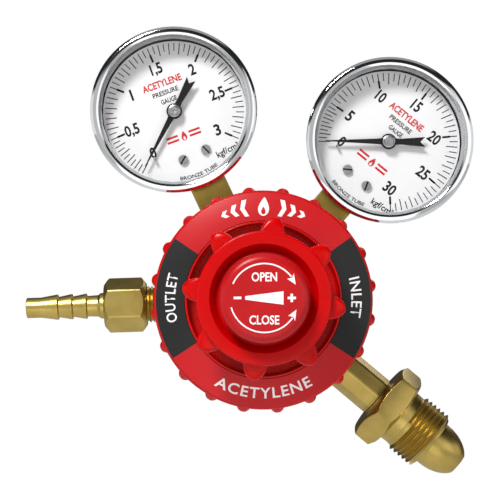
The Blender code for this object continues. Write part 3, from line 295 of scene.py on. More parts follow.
@dataclass(frozen=True)
class TurnedMetal(Finish):
    """Metal with the fine rings that a lathe tool leaves round an axis.

    Attributes:
        stand: The frame whose local Z is the lathe's axis.
    """

    stand: Stand | None = None

    def grain_place(self, tree: bpy.types.NodeTree) -> bpy.types.NodeSocket:
        """Coordinates that change only with the radius and height about the axis.

        Args:
            tree: The material's tree.

        Returns:
            The coordinates.
        """
        place = add_node(tree, "ShaderNodeTexCoord").outputs["Object"]
        to_local = self.stand.matrix().inverted()
        turn = to_local.to_3x3().normalized().to_euler()
        centre = to_local.translation * MM
        local = add_node(tree, "ShaderNodeMapping", {
            "Vector": place, "Location": centre, "Rotation": turn,
        })
        parts = add_node(tree, "ShaderNodeSeparateXYZ", {"Vector": local.outputs["Vector"]})
        flat = add_node(tree, "ShaderNodeCombineXYZ", {
            "X": parts.outputs["X"], "Y": parts.outputs["Y"],
        })
        radius = add_node(tree, "ShaderNodeVectorMath", {0: flat.outputs["Vector"]},
                          operation="LENGTH")
        return add_node(tree, "ShaderNodeCombineXYZ", {
            "X": radius.outputs["Value"], "Y": parts.outputs["Z"],
        }).outputs["Vector"]


@dataclass(frozen=True)
class ClearGlass(Finish):
    """Flat clear glass, which shows at a slant and by what it mirrors."""

    def build(self) -> bpy.types.Material:
        """Makes the glass, thin enough to see through and glossy.

        Returns:
            The material.
        """
        material, tree, shader = self.start()
        self.dress(tree, shader)
        edge = add_node(tree, "ShaderNodeLayerWeight", {"Blend": 0.12})
        film = add_node(tree, "ShaderNodeMapRange", {
            "Value": edge.outputs["Fresnel"], "To Min": 0.03, "To Max": 0.5,
        })
        tree.links.new(film.outputs["Result"], shader.inputs["Alpha"])
        return material


class Look(Enum):
    """The finishes that pieces choose from, by the name of their material."""

    FORGED = "forged_brass_satin"
    STEM = "bar_brass_drawn"
    STEEL = "zinc_plated_steel"
    CHROME = "chrome_plated_brass"
    BRONZE = "sintered_bronze"
    CASE = "black_painted_steel"
    LINER = "bright_steel_inside"
    KNOB = "red_abs_gloss"
    COVER = "red_abs_moulded"
    LABEL = "printed_vinyl_red"
    LABEL_DARK = "printed_vinyl_black"
    LABEL_WHITE = "print_white"
    CAP = "printed_cap_red"
    # steel painted dark for the shade at the bottom of a screw's slot
    PAINTED_SLOT_SHADE = "slot_steel_painted_shade"
    RUBBER = "grey_silicone_rubber"
    DIAL = "dial_white_lacquer"
    DIAL_BLACK = "dial_print_black"
    DIAL_RED = "dial_print_red"
    POINTER = "black_lacquered_aluminium"
    GLASS = "window_glass"


FINISHES: tuple[Finish, ...] = (
    # Forged brass, shot-blasted then tumbled: a satin skin with a soft, even pebble
    Finish(Look.FORGED.value, "BCA662", "A68F50", 0.38, 0.06, 1.0, 7.0, 0.35, 0.012),
    # Drawn brass bar, left as it comes: duller and greener than the forging
    Finish(Look.STEM.value, "AC9648", "978340", 0.36, 0.05, 1.0, 6.0, 0.4, 0.006),
    # Zinc-plated steel: cool grey with a slight bloom
    Finish(Look.STEEL.value, "B8BABC", "A6A8AA", 0.34, 0.08, 1.0, 3.0, 0.3, 0.01),
    # The bottom of a screw's slot: dull steel painted dark as the shade inside the slot
    Finish(Look.PAINTED_SLOT_SHADE.value, "2A2B2C", "232425", 0.6, 0.06, 0.0, 2.0, 0.2, 0.01, 0.2),
    # Chrome over polished brass: near a mirror, so its roughness hardly varies
    Finish(Look.CHROME.value, "E4E6E8", "D8DADC", 0.07, 0.015, 1.0, 14.0, 2.0, 0.0015),
    # Sintered bronze: round grains a third of a millimetre across
    Finish(Look.BRONZE.value, "8A6238", "6E4C2A", 0.6, 0.1, 1.0, 1.2, 0.3, 0.08),
    # Black paint on pressed steel: satin, with a fine orange peel
    Finish(Look.CASE.value, "1C1C1D", "141415", 0.38, 0.05, 0.0, 12.0, 0.7, 0.012),
    # Bare pressed steel inside the case: bright, but too dull to mirror
    Finish(Look.LINER.value, "C6C8CA", "B4B6B8", 0.4, 0.05, 0.6, 8.0, 0.5, 0.006),
    # Injection-moulded ABS, polished tool: a deep gloss red
    Finish(Look.KNOB.value, "C60103", "BC0102", 0.24, 0.03, 0.0, 16.0, 0.9, 0.002, 0.15),
    # Injection-moulded ABS, plain tool: the same red with less gloss
    Finish(Look.COVER.value, "C60305", "BA0204", 0.28, 0.04, 0.0, 16.0, 0.6, 0.004, 0.25),
    # Printed vinyl: flat red ink under a satin film
    Finish(Look.LABEL.value, "C41C22", "BC181E", 0.36, 0.04, 0.0, 24.0, 0.5, 0.002, 0.2),
    # The same film over black ink, which mirrors a little less
    Finish(Look.LABEL_DARK.value, "2A2B2B", "262727", 0.36, 0.04, 0.0, 24.0, 0.5, 0.002, 0.15),
    # Screen-printed white ink: dry and even
    Finish(Look.LABEL_WHITE.value, "F8F4F4", "F0ECEC", 0.5, 0.03, 0.0, 20.0, 0.5, 0.003),
    # Printed plate on the knob's cap
    Finish(Look.CAP.value, "B81318", "AE0D12", 0.3, 0.04, 0.0, 20.0, 0.5, 0.002, 0.25),
    # Silicone seal ring: soft and dull
    Finish(Look.RUBBER.value, "C2C4C6", "B8BABC", 0.7, 0.05, 0.0, 4.0, 0.4, 0.01),
    # White lacquer on a sheet dial: even, with the faintest eggshell
    Finish(Look.DIAL.value, "F6F6F6", "F2F2F3", 0.5, 0.03, 0.0, 20.0, 0.6, 0.003),
    # Pad-printed black ink on the lacquer: matt
    Finish(Look.DIAL_BLACK.value, "1C1C1E", "242426", 0.5, 0.03, 0.0, 8.0, 0.3, 0.001, 0.1),
    # Pad-printed red ink on the lacquer: matt
    Finish(Look.DIAL_RED.value, "CE2C30", "D4383A", 0.5, 0.03, 0.0, 8.0, 0.3, 0.001, 0.1),
    # Lacquered aluminium strip: satin black
    Finish(Look.POINTER.value, "161617", "1C1C1D", 0.35, 0.05, 0.0, 8.0, 0.3, 0.002, 0.2),
    # Float glass: clear square on, with a grey film of reflection at a slant
    ClearGlass(Look.GLASS.value, "3C4244", "363C3E", 0.03, 0.005, 0.0, 30.0, 3.0, 0.0005),
)


def turned_brass(
    name: str, stand: Stand, colour: str, shade: str, roughness: float = 0.33
) -> bpy.types.Material:
    """Turned brass bar: brighter than the forging, with fine rings round its axis.

    Args:
        name: The material's name.
        stand: The frame whose local Z is the lathe's axis.
        colour: Its usual colour, sRGB hex.
        shade: The colour that it drifts to.
        roughness: Its middle roughness.

    Returns:
        The material.
    """
    # A lathe's feed is about a tenth of a millimetre; 0.3 is drawn, so that rings can show
    return TurnedMetal(name, colour, shade, roughness, 0.05, 1.0, 8.0, 0.3, 0.004,
                       stand=stand).build()


# ---------------------------------------------------------------- meshes

def rounded(corners: Sequence[Corner], closed: bool, segments: int = 4) -> list[Corner]:
    """Rounds the corners of a profile that ask for it.

    Args:
        corners: The profile's corners.
        closed: Whether its last corner joins its first.
        segments: Steps in each rounding.

    Returns:
        The profile's points.
    """
    points: list[Corner] = []
    count = len(corners)
    for i, corner in enumerate(corners):
        size = corner[2] if len(corner) > 2 else 0.0
        ends = closed or 0 < i < count - 1
        if size <= 0.0 or not ends:
            points.append((corner[0], corner[1]))
            continue
        here = Vector(corner[:2])
        before = Vector(corners[i - 1][:2]) - here
        after = Vector(corners[(i + 1) % count][:2]) - here
        half = before.angle(after) / 2.0 if before.length and after.length else 0.0
        reach = size / max(math.tan(half), 0.05) if half else 0.0
        reach = min(reach, before.length * 0.48, after.length * 0.48)
        first = here + before.normalized() * reach
        last = here + after.normalized() * reach
        for step in range(segments + 1):
            t = step / segments
            spot = first * (1 - t) ** 2 + here * 2 * t * (1 - t) + last * t * t
            points.append((spot.x, spot.y))
    return points


def shell(profile: Profile, steps: int = 96, closed: bool = False) -> bpy.types.Mesh:
    """Sweeps a profile, fixed or a rule of the angle, about local Z.

    Args:
        profile: Corners listed from the top, down the outer side.
        steps: Steps round the axis.
        closed: Whether the last corner joins the first.

    Returns:
        A closed mesh in millimetres, facing outwards.
    """
    rings = []
    for j in range(steps):
        angle = 360.0 * j / steps
        corners = profile(angle) if callable(profile) else profile
        rings.append([(*polar(r, angle), z) for r, z in rounded(corners, closed)])
    rows = len(rings[0])
    vertices = [point for ring in rings for point in ring]
    last = rows if closed else rows - 1
    faces = [
        (j * rows + i, j * rows + (i + 1) % rows, (j + 1) % steps * rows + (i + 1) % rows,
         (j + 1) % steps * rows + i)
        for j in range(steps) for i in range(last)
    ]
    mesh = bpy.data.meshes.new("shell")
    mesh.from_pydata(vertices, [], faces)
    return welded(mesh)


def creased(mesh: bpy.types.Mesh, sharp: float = CREASE) -> bpy.types.Mesh:
    """Shades a mesh smooth between its sharp edges.

    Args:
        mesh: The mesh.
        sharp: Angle past which an edge is sharp, in degrees.

    Returns:
        The same mesh.
    """
    mesh.shade_smooth()
    mesh.set_sharp_from_angle(angle=math.radians(sharp))
    return mesh


def welded(mesh: bpy.types.Mesh, sharp: float = 32.0) -> bpy.types.Mesh:
    """Merges doubles, turns faces outwards and shades smooth between sharp edges.

    Args:
        mesh: The mesh.
        sharp: Angle past which an edge is sharp, in degrees.

    Returns:
        The same mesh.
    """
    bm = bmesh.new()
    bm.from_mesh(mesh)
    bmesh.ops.remove_doubles(bm, verts=bm.verts, dist=WELD)
    bmesh.ops.dissolve_degenerate(bm, edges=bm.edges, dist=WELD / 2.0)
    bmesh.ops.recalc_face_normals(bm, faces=bm.faces)
    bm.to_mesh(mesh)
    bm.free()
    return creased(mesh, sharp)


def flats_radius(angle: float, sides: int, flats: float, turn: float, crisp: float) -> float:
    """The radius of a bar with flats at an angle, its corners slightly eased.

    Args:
        angle: Where round the bar.
        sides: How many flats.
        flats: Size across flats.
        turn: Angle of the first flat.
        crisp: How sharp the corners are.

    Returns:
        The radius there.
    """
    total = 0.0
    for k in range(sides):
        lean = math.cos(math.radians(angle - turn - 360.0 * k / sides))
        if lean > 0.0:
            total += (lean / (flats / 2.0)) ** crisp
    return total ** (-1.0 / crisp)


def merged(meshes: Sequence[bpy.types.Mesh]) -> bpy.types.Mesh:
    """Joins meshes into one, keeping their materials in order.

    Args:
        meshes: The meshes, which are used up.

    Returns:
        One mesh that holds them all.
    """
    bm = bmesh.new()
    finishes: list[bpy.types.Material] = []
    for mesh in meshes:
        start = len(bm.faces)
        bm.from_mesh(mesh)
        bm.faces.ensure_lookup_table()
        numbers = []
        for material in mesh.materials:
            if material not in finishes:
                finishes.append(material)
            numbers.append(finishes.index(material))
        for face in bm.faces[start:]:
            if numbers:
                face.material_index = numbers[min(face.material_index, len(numbers) - 1)]
        bpy.data.meshes.remove(mesh)
    whole = bpy.data.meshes.new("merged")
    bm.to_mesh(whole)
    bm.free()
    for material in finishes:
        whole.materials.append(material)
    return whole


def evaluated(obj: bpy.types.Object) -> bpy.types.Mesh:
    """Links an object for a moment, and returns its finished shape as a plain mesh.

    Args:
        obj: The object, which is used up.

    Returns:
        Its shape with its modifiers applied.
    """
    bpy.context.scene.collection.objects.link(obj)
    bpy.context.view_layer.update()
    depsgraph = bpy.context.evaluated_depsgraph_get()
    mesh = bpy.data.meshes.new_from_object(obj.evaluated_get(depsgraph), depsgraph=depsgraph)
    bpy.data.objects.remove(obj, do_unlink=True)
    return mesh


def grow(
    tree: bpy.types.NodeTree, seed: bpy.types.Mesh, values: dict[str, object]
) -> bpy.types.Mesh:
    """Runs a geometry tree on a mesh.

    Args:
        tree: The geometry tree.
        seed: The mesh it starts from.
        values: Its named inputs.

    Returns:
        The result as a plain mesh.
    """
    holder = bpy.data.objects.new("holder", seed)
    modifier = holder.modifiers.new("grow", "NODES")
    modifier.node_group = tree
    for item in tree.interface.items_tree:
        if item.in_out == "INPUT" and item.name in values:
            modifier[item.identifier] = values[item.name]
    return evaluated(holder)


def plate(outlines: Sequence[Sequence[tuple[float, float]]], thickness: float) -> bpy.types.Mesh:
    """A flat plate standing on the local plane.

    Args:
        outlines: Its edge, then its holes or further pieces.
        thickness: Its height.

    Returns:
        The plate's mesh.
    """
    curve = bpy.data.curves.new("plate", "CURVE")
    curve.dimensions = "2D"
    curve.fill_mode = "BOTH"
    curve.extrude = thickness / 2.0
    for outline in outlines:
        spline = curve.splines.new("POLY")
        spline.points.add(len(outline) - 1)
        for point, (x, y) in zip(spline.points, outline):
            point.co = (x, y, 0.0, 1.0)
        spline.use_cyclic_u = True
    mesh = evaluated(bpy.data.objects.new("plate", curve))
    mesh.transform(Matrix.Translation((0.0, 0.0, thickness / 2.0)))
    mesh.materials.clear()
    return welded(mesh)


def lettering(
    text: str, height: float, width: float, weight: float, spacing: float = 1.0
) -> bpy.types.Mesh:
    """Printed characters, centred on the origin.

    Args:
        text: What they say.
        height: Height of its tallest character.
        width: Length of the whole line.
        weight: How far the strokes are thickened.
        spacing: Space between characters, 1 being usual.

    Returns:
        A thin mesh standing on the local plane.
    """
    curve = bpy.data.curves.new("lettering", "FONT")
    curve.body = text
    curve.extrude = INK / 2.0
    curve.offset = weight
    curve.space_character = spacing
    curve.resolution_u = 3
    mesh = evaluated(bpy.data.objects.new("lettering", curve))
    xs = [v.co.x for v in mesh.vertices]
    ys = [v.co.y for v in mesh.vertices]
    middle = Vector(((min(xs) + max(xs)) / 2.0, (min(ys) + max(ys)) / 2.0, 0.0))
    size = (width / (max(xs) - min(xs)), height / (max(ys) - min(ys)), 1.0, 1.0)
    mesh.transform(Matrix.Diagonal(size) @ Matrix.Translation(-middle))
    mesh.transform(Matrix.Translation((0.0, 0.0, INK / 2.0)))
    mesh.materials.clear()
    return welded(mesh)


class Reading(Enum):
    """Which way the tops of letters on a ring point."""

    OUTWARD = 1
    INWARD = -1


def wrapped(
    mesh: bpy.types.Mesh,
    radius: float,
    angle: float,
    reading: Reading,
    height: Callable[[float], float],
) -> bpy.types.Mesh:
    """Bends a flat mesh round local Z, and lays it on a surface.

    Args:
        mesh: The flat mesh.
        radius: Radius of its middle line.
        angle: Where its middle goes.
        reading: Which way its top points.
        height: The surface's height at each radius.

    Returns:
        The same mesh, bent.
    """
    way = reading.value
    for vertex in mesh.vertices:
        x, y, z = vertex.co
        at = radius + way * y
        spot = polar(at, angle - way * math.degrees(x / radius))
        vertex.co = (*spot, height(at) + z)
    return mesh


def moved(mesh: bpy.types.Mesh, x: float, y: float, z: float, turn: float = 0.0) -> bpy.types.Mesh:
    """Turns a mesh about local Z, then shifts it."""
    mesh.transform(Matrix.Translation((x, y, z)) @ Matrix.Rotation(math.radians(turn), 4, "Z"))
    return mesh


def band(radius: float, width: float, start: float, end: float) -> list[tuple[float, float]]:
    """Outline of a strip along an arc.

    Args:
        radius: Radius of its middle line.
        width: Its width.
        start: Angle of one end.
        end: Angle of the other end.

    Returns:
        The outline's points.
    """
    count = max(6, int(abs(end - start) / 4.0))
    angles = [start + (end - start) * i / count for i in range(count + 1)]
    outer = [polar(radius + width / 2.0, a) for a in angles]
    return outer + [polar(radius - width / 2.0, a) for a in reversed(angles)]


# ---------------------------------------------------------------- geometry trees

class Trees:
    """Geometry trees for what repeats round an axis or follows a helix.

    Attributes:
        FLANK: Half the width of a thread's ridge, in pitches.
        FADE: Share of a thread's length over which its ridge runs out.
        RUN_OUT: Share of its height that the ridge keeps at its very end.
    """

    FLANK = 0.47
    FADE = 0.06
    RUN_OUT = 0.05

    def __init__(self) -> None:
        """Builds each tree once."""
        self.ring = self._ring()
        self.thread = self._thread()

    @staticmethod
    def _new(name: str, sockets: Sequence[tuple[str, str]]) -> bpy.types.NodeTree:
        """A geometry tree with named inputs and one geometry output.

        Args:
            name: The tree's name.
            sockets: Each input's label and kind.

        Returns:
            The tree.
        """
        tree = bpy.data.node_groups.new(name, "GeometryNodeTree")
        for label, kind in sockets:
            tree.interface.new_socket(label, in_out="INPUT", socket_type=kind)
        tree.interface.new_socket("Geometry", in_out="OUTPUT", socket_type="NodeSocketGeometry")
        return tree

    @staticmethod
    def _end(
        tree: bpy.types.NodeTree, shape: bpy.types.NodeSocket, finish: bpy.types.NodeSocket
    ) -> bpy.types.NodeTree:
        """Ends a tree in real geometry with its material.

        Args:
            tree: The tree.
            shape: Its finished shape.
            finish: Its material.

        Returns:
            The same tree.
        """
        real = add_node(tree, "GeometryNodeRealizeInstances", {"Geometry": shape})
        dressed = add_node(tree, "GeometryNodeSetMaterial", {
            "Geometry": real.outputs["Geometry"], "Material": finish,
        })
        add_node(tree, "NodeGroupOutput", {"Geometry": dressed.outputs["Geometry"]})
        return tree

    def _ring(self) -> bpy.types.NodeTree:
        """Copies of the given mesh, turned step by step about local Z.

        Returns:
            The tree.
        """
        tree = self._new("ring_of_copies", (
            ("Geometry", "NodeSocketGeometry"), ("Count", "NodeSocketInt"),
            ("Start", "NodeSocketFloat"), ("Step", "NodeSocketFloat"),
            ("Finish", "NodeSocketMaterial"),
        ))
        given = add_node(tree, "NodeGroupInput").outputs
        line = add_node(tree, "GeometryNodeMeshLine", {
            "Count": given["Count"], "Offset": (0.0, 0.0, 0.0),
        })
        number = add_node(tree, "GeometryNodeInputIndex")
        turn = add_node(tree, "ShaderNodeMath", {
            0: number.outputs["Index"], 1: given["Step"], 2: given["Start"],
        }, operation="MULTIPLY_ADD")
        angles = add_node(tree, "ShaderNodeCombineXYZ", {"Z": turn.outputs["Value"]})
        facing = add_node(tree, "FunctionNodeEulerToRotation", {
            "Euler": angles.outputs["Vector"],
        })
        copies = add_node(tree, "GeometryNodeInstanceOnPoints", {
            "Points": line.outputs["Mesh"], "Instance": given["Geometry"],
            "Rotation": facing.outputs["Rotation"],
        })
        return self._end(tree, copies.outputs["Instances"], given["Finish"])

    def _thread(self) -> bpy.types.NodeTree:
        """A left-hand thread's ridge, which tapers away at both ends.

        Returns:
            The tree.
        """
        tree = self._new("thread_ridge", (
            ("Geometry", "NodeSocketGeometry"), ("Radius", "NodeSocketFloat"),
            ("Pitch", "NodeSocketFloat"), ("Turns", "NodeSocketFloat"),
            ("Height", "NodeSocketFloat"), ("Start", "NodeSocketFloat"),
            ("Finish", "NodeSocketMaterial"),
        ))
        given = add_node(tree, "NodeGroupInput").outputs
        rise = add_node(tree, "ShaderNodeMath", {0: given["Pitch"], 1: given["Turns"]},
                        operation="MULTIPLY")
        spiral = add_node(tree, "GeometryNodeCurveSpiral", {
            "Resolution": 48, "Rotations": given["Turns"], "Start Radius": given["Radius"],
            "End Radius": given["Radius"], "Height": rise.outputs["Value"], "Reverse": False,
        })
        upright = add_node(tree, "GeometryNodeSetCurveNormal", {
            "Curve": spiral.outputs["Curve"],
        }, mode="Z_UP")
        along = add_node(tree, "GeometryNodeSplineParameter")
        far = add_node(tree, "ShaderNodeMath", {0: 1.0, 1: along.outputs["Factor"]},
                       operation="SUBTRACT")
        near = add_node(tree, "ShaderNodeMath", {
            0: along.outputs["Factor"], 1: far.outputs["Value"],
        }, operation="MINIMUM")
        swell = add_node(tree, "ShaderNodeMapRange", {
            "Value": near.outputs["Value"], "From Max": self.FADE, "To Min": self.RUN_OUT,
        })
        ridge = add_node(tree, "GeometryNodeSetCurveRadius", {
            "Curve": upright.outputs["Curve"], "Radius": swell.outputs["Result"],
        })
        half = add_node(tree, "ShaderNodeMath", {0: given["Pitch"], 1: self.FLANK},
                        operation="MULTIPLY")
        size = add_node(tree, "ShaderNodeCombineXYZ", {
            "X": given["Height"], "Y": half.outputs["Value"], "Z": 1.0,
        })
        outline = add_node(tree, "GeometryNodeCurvePrimitiveCircle", {
            "Resolution": 4, "Radius": 1.0,
        })
        section = add_node(tree, "GeometryNodeTransform", {
            "Geometry": outline.outputs["Curve"], "Scale": size.outputs["Vector"],
        })
        solid = add_node(tree, "GeometryNodeCurveToMesh", {
            "Curve": ridge.outputs["Curve"], "Profile Curve": section.outputs["Geometry"],
            "Fill Caps": True,
        })
        lift = add_node(tree, "ShaderNodeCombineXYZ", {"Z": given["Start"]})
        placed = add_node(tree, "GeometryNodeTransform", {
            "Geometry": solid.outputs["Mesh"], "Translation": lift.outputs["Vector"],
        })
        return self._end(tree, placed.outputs["Geometry"], given["Finish"])


# ---------------------------------------------------------------- the workshop

class Workshop:
    """Holds the frame, the finishes and the trees, and places finished pieces."""

    def __init__(self, frame: dict) -> None:
        """Reads the frame and makes what every piece shares.
        """
        self.frame = frame
        record = frame["record"]
        self.nodes = frame["nodes"]
        self.slots = {row["node"]: row["material_slot"] for row in record["subparts"]}
        self.bodies = {
            node: body for body, names in record["behaviour"]["bodies"].items() for node in names
        }
        self.joints = {joint["name"]: joint for joint in record["behaviour"]["joints"]}
        self.mounts = {mount["name"]: mount for mount in record["mounts"]}
        self.materials = {finish.name: finish.build() for finish in FINISHES}
        self.trees = Trees()
        self.back = Vector(self.mounts["back_face"]["pos_m"])
        self.axis = Stand(self.back, FRONT, Vector((0.0, 0.0, 1.0)))

    def material(self, look: Look) -> bpy.types.Material:
        """The material of a finish."""
        return self.materials[look.value]

    def port(self, mount: str) -> Stand:
        """The stand of a port, from its mount's axis: local Z is the reach.

        Args:
            mount: The mount's name.

        Returns:
            The stand.
        """
        out = Vector(self.mounts[mount]["axis"]).normalized()
        plane = self.mounts["inlet_seat"]["pos_m"][1]
        return Stand(Vector((self.back.x, plane, self.back.z)), out, out.cross(FRONT))

    def centre(self, node: str) -> Vector:
        """The middle of a CAD node's box."""
        low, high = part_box(node)
        return (low + high) / 2.0

    def place(
        self,
        name: str,
        mesh: bpy.types.Mesh,
        stand: Stand,
        look: Look | bpy.types.Material | None,
        like: str,
        beside: bool = False,
    ) -> bpy.types.Object:
        """Puts a mesh in its place as a finished piece.

        Args:
            name: The piece's name.
            mesh: Its mesh, in the stand's millimetres.
            stand: Where it stands.
            look: Its finish, or None if its mesh already has one.
            like: The CAD node that it stands for, whose body it shares.
            beside: Whether it only adds to the piece that stands for that node.

        Returns:
            The placed object.
        """
        mesh.transform(stand.matrix())
        if look is not None:
            mesh.materials.clear()
            mesh.materials.append(self.material(look) if isinstance(look, Look) else look)
        return self.register(name, mesh, like, () if beside else (like,))

    def threaded(
        self,
        core: bpy.types.Mesh,
        root: float,
        pitch: float,
        height: float,
        start: float,
        length: float,
    ) -> bpy.types.Mesh:
        """Adds a left-hand thread to a turned piece.

        Args:
            core: The piece, which is used up.
            root: Radius at the thread's root.
            pitch: Its pitch.
            height: Height of its ridge.
            start: Where its first turn stands.
            length: Its length along the axis.

        Returns:
            One mesh that holds both.
        """
        ridge = grow(self.trees.thread, bpy.data.meshes.new("seed"), {
            "Radius": root, "Pitch": pitch, "Turns": length / pitch, "Height": height,
            "Start": start, "Finish": self.material(Look.STEM),
        })
        return merged([core, creased(ridge)])

    def register(
        self, name: str, mesh: bpy.types.Mesh, like: str, replaces: Sequence[str] = ()
    ) -> bpy.types.Object:
        """Makes a placed mesh a piece that rides on its body.

        Args:
            name: The piece's name.
            mesh: Its mesh, in the frame's metres.
            like: The CAD node whose body it shares.
            replaces: The CAD nodes that it stands for.

        Returns:
            The piece's object.
        """
        mesh.name = name
        piece = bpy.data.objects.new(name, mesh)
        bpy.context.scene.collection.objects.link(piece)
        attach(piece, self.bodies[like])
        if replaces:
            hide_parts(*replaces)
        LOG.info("%s: %d faces, on %s", name, len(mesh.polygons), self.bodies[like])
        return piece

    def soften(self) -> None:
        """Puts a plain copy of each spring and the diaphragm in place of its CAD node, on its body.
        """
        for joint in self.joints.values():
            for row in joint.get("deforming_nodes", ()):
                node = row["node"]
                mesh = self.nodes[node].data.copy()
                piece = self.register(f"{node}_flexing", mesh, node, [node])
                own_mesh(piece)

    def paint(self, looks: dict[str, Look]) -> None:
        """Gives CAD nodes that stay their finishes, by the end of their names.

        Args:
            looks: Each ending with its finish.
        """
        for name, node in self.nodes.items():
            for ending, look in looks.items():
                if name.endswith(ending) and not node.hide_render:
                    node.data.materials.clear()
                    node.data.materials.append(self.material(look))
                    LOG.info("%s keeps its CAD shape, in %s", name, look.value)
                    break


# ---------------------------------------------------------------- body

@dataclass
class Body:
    """The forged brass body and its hexagonal back plug."""

    shop: Workshop
    back: float = 4.3
    barrel: float = 16.0
    flange: float = 30.0
    flange_back: float = 22.5
    flange_front: float = 31.0
    boss: float = 9.5
    boss_foot: float = 5.0
    boss_reach: float = 27.0
    voxel: float = 0.62
    seat: float = 25.3
    seat_depth: float = 28.5
    pocket: float = 20.0
    pocket_depth: float = 24.0
    bore: float = 4.3
    chamber: float = 8.0
    chamber_depth: float = 17.5
    plug_hex: float = 19.0
    plug_head: float = 4.0
    ports: list[Stand] = field(default_factory=list)

    def build(self) -> None:
        """Makes both pieces."""
        axis = self.shop.axis
        self.shop.place("body_forging", self.hollowed(self.skin()), axis, Look.FORGED, "body")
        self.shop.place("back_plug_turned", self.plug(), axis, turned_brass(
            "turned_brass_plug", axis, "C4AC62", "B09850", 0.32), "back_plug")

    def barrel_shape(self) -> bpy.types.Mesh:
        """The barrel with the flange that the bonnet screws on.

        Returns:
            Its mesh.
        """
        return shell([
            (0.0, self.flange_front), (self.flange, self.flange_front, 0.4),
            (self.flange, self.flange_back, 0.8), (self.barrel + 1.6, self.flange_back - 1.0, 2.0),
            (self.barrel, self.flange_back - 4.0, 2.0), (self.barrel, self.back, 1.6),
            (self.barrel - 5.0, self.back, 0.4), (0.0, self.back),
        ], 96)

    def boss_shape(self, port: Stand) -> bpy.types.Mesh:
        """The round boss of one port, in the body's own frame.

        Args:
            port: The port's stand.

        Returns:
            Its mesh.
        """
        boss = shell([
            (0.0, self.boss_reach), (self.boss, self.boss_reach, 1.0),
            (self.boss, self.boss_foot), (0.0, self.boss_foot),
        ], 48)
        boss.transform(self.shop.axis.matrix().inverted() @ port.matrix())
        return boss

    def skin(self) -> bpy.types.Mesh:
        """Barrel, flange and bosses in one skin with the soft blends of a forging.

        Returns:
            The solid forging, before it is bored.
        """
        parts = [self.barrel_shape()] + [self.boss_shape(port) for port in self.ports]
        whole = merged(parts)
        whole.materials.clear()
        holder = bpy.data.objects.new("forging", whole)
        skin = holder.modifiers.new("skin", "REMESH")
        skin.mode = "VOXEL"
        skin.voxel_size = self.voxel
        ease = holder.modifiers.new("ease", "SMOOTH")
        ease.factor = 0.5
        ease.iterations = 5
        return evaluated(holder)

    def hollowed(self, forging: bpy.types.Mesh) -> bpy.types.Mesh:
        """Bores the forging out.

        Args:
            forging: The solid forging, which is used up.

        Returns:
            The bored body.
        """
        cut = bpy.data.objects.new("cavity", self.cavity())
        bpy.context.scene.collection.objects.link(cut)
        solid = bpy.data.objects.new("solid", forging)
        hollow = solid.modifiers.new("hollow", "BOOLEAN")
        hollow.operation = "DIFFERENCE"
        hollow.solver = "EXACT"
        hollow.object = cut
        result = evaluated(solid)
        bpy.data.objects.remove(cut, do_unlink=True)
        return creased(result)

    def cavity(self) -> bpy.types.Mesh:
        """What is bored out: the diaphragm's seat, the valve chamber and the plug's thread.

        Returns:
            The shape to be cut away.
        """
        return shell([
            (0.0, self.flange_front + 3.0), (self.seat, self.flange_front + 3.0),
            (self.seat, self.seat_depth), (self.pocket, self.seat_depth),
            (self.pocket, self.pocket_depth), (self.bore, self.pocket_depth),
            (self.bore, self.chamber_depth), (self.chamber, self.chamber_depth),
            (self.chamber, 1.0), (0.0, 1.0),
        ], 64)

    def plug_section(self, angle: float) -> list[Corner]:
        """The back plug's section at an angle.

        Args:
            angle: Where round the axis.

        Returns:
            Its corners, from the threaded end to the dished face.
        """
        edge = flats_radius(angle, 6, self.plug_hex, 0.0, MILLED)
        face = self.plug_hex / 2.0 * 0.94
        drop = (edge - face) * 0.55
        return [
            (0.0, 9.0), (6.9, 9.0, 0.2), (7.6, 8.3, 0.2), (7.6, self.plug_head),
            (face, self.plug_head), (edge, self.plug_head - drop * 0.6, 0.25),
            (edge, drop, 0.25), (face, 0.05, 0.2), (6.4, 0.05, 0.1), (6.2, 0.35, 0.2),
            (0.0, 0.35),
        ]

    def plug(self) -> bpy.types.Mesh:
        """A hexagon head with turned corners and a shallow dished face."""
        return shell(self.plug_section, 144)


# ---------------------------------------------------------------- bonnet and cover

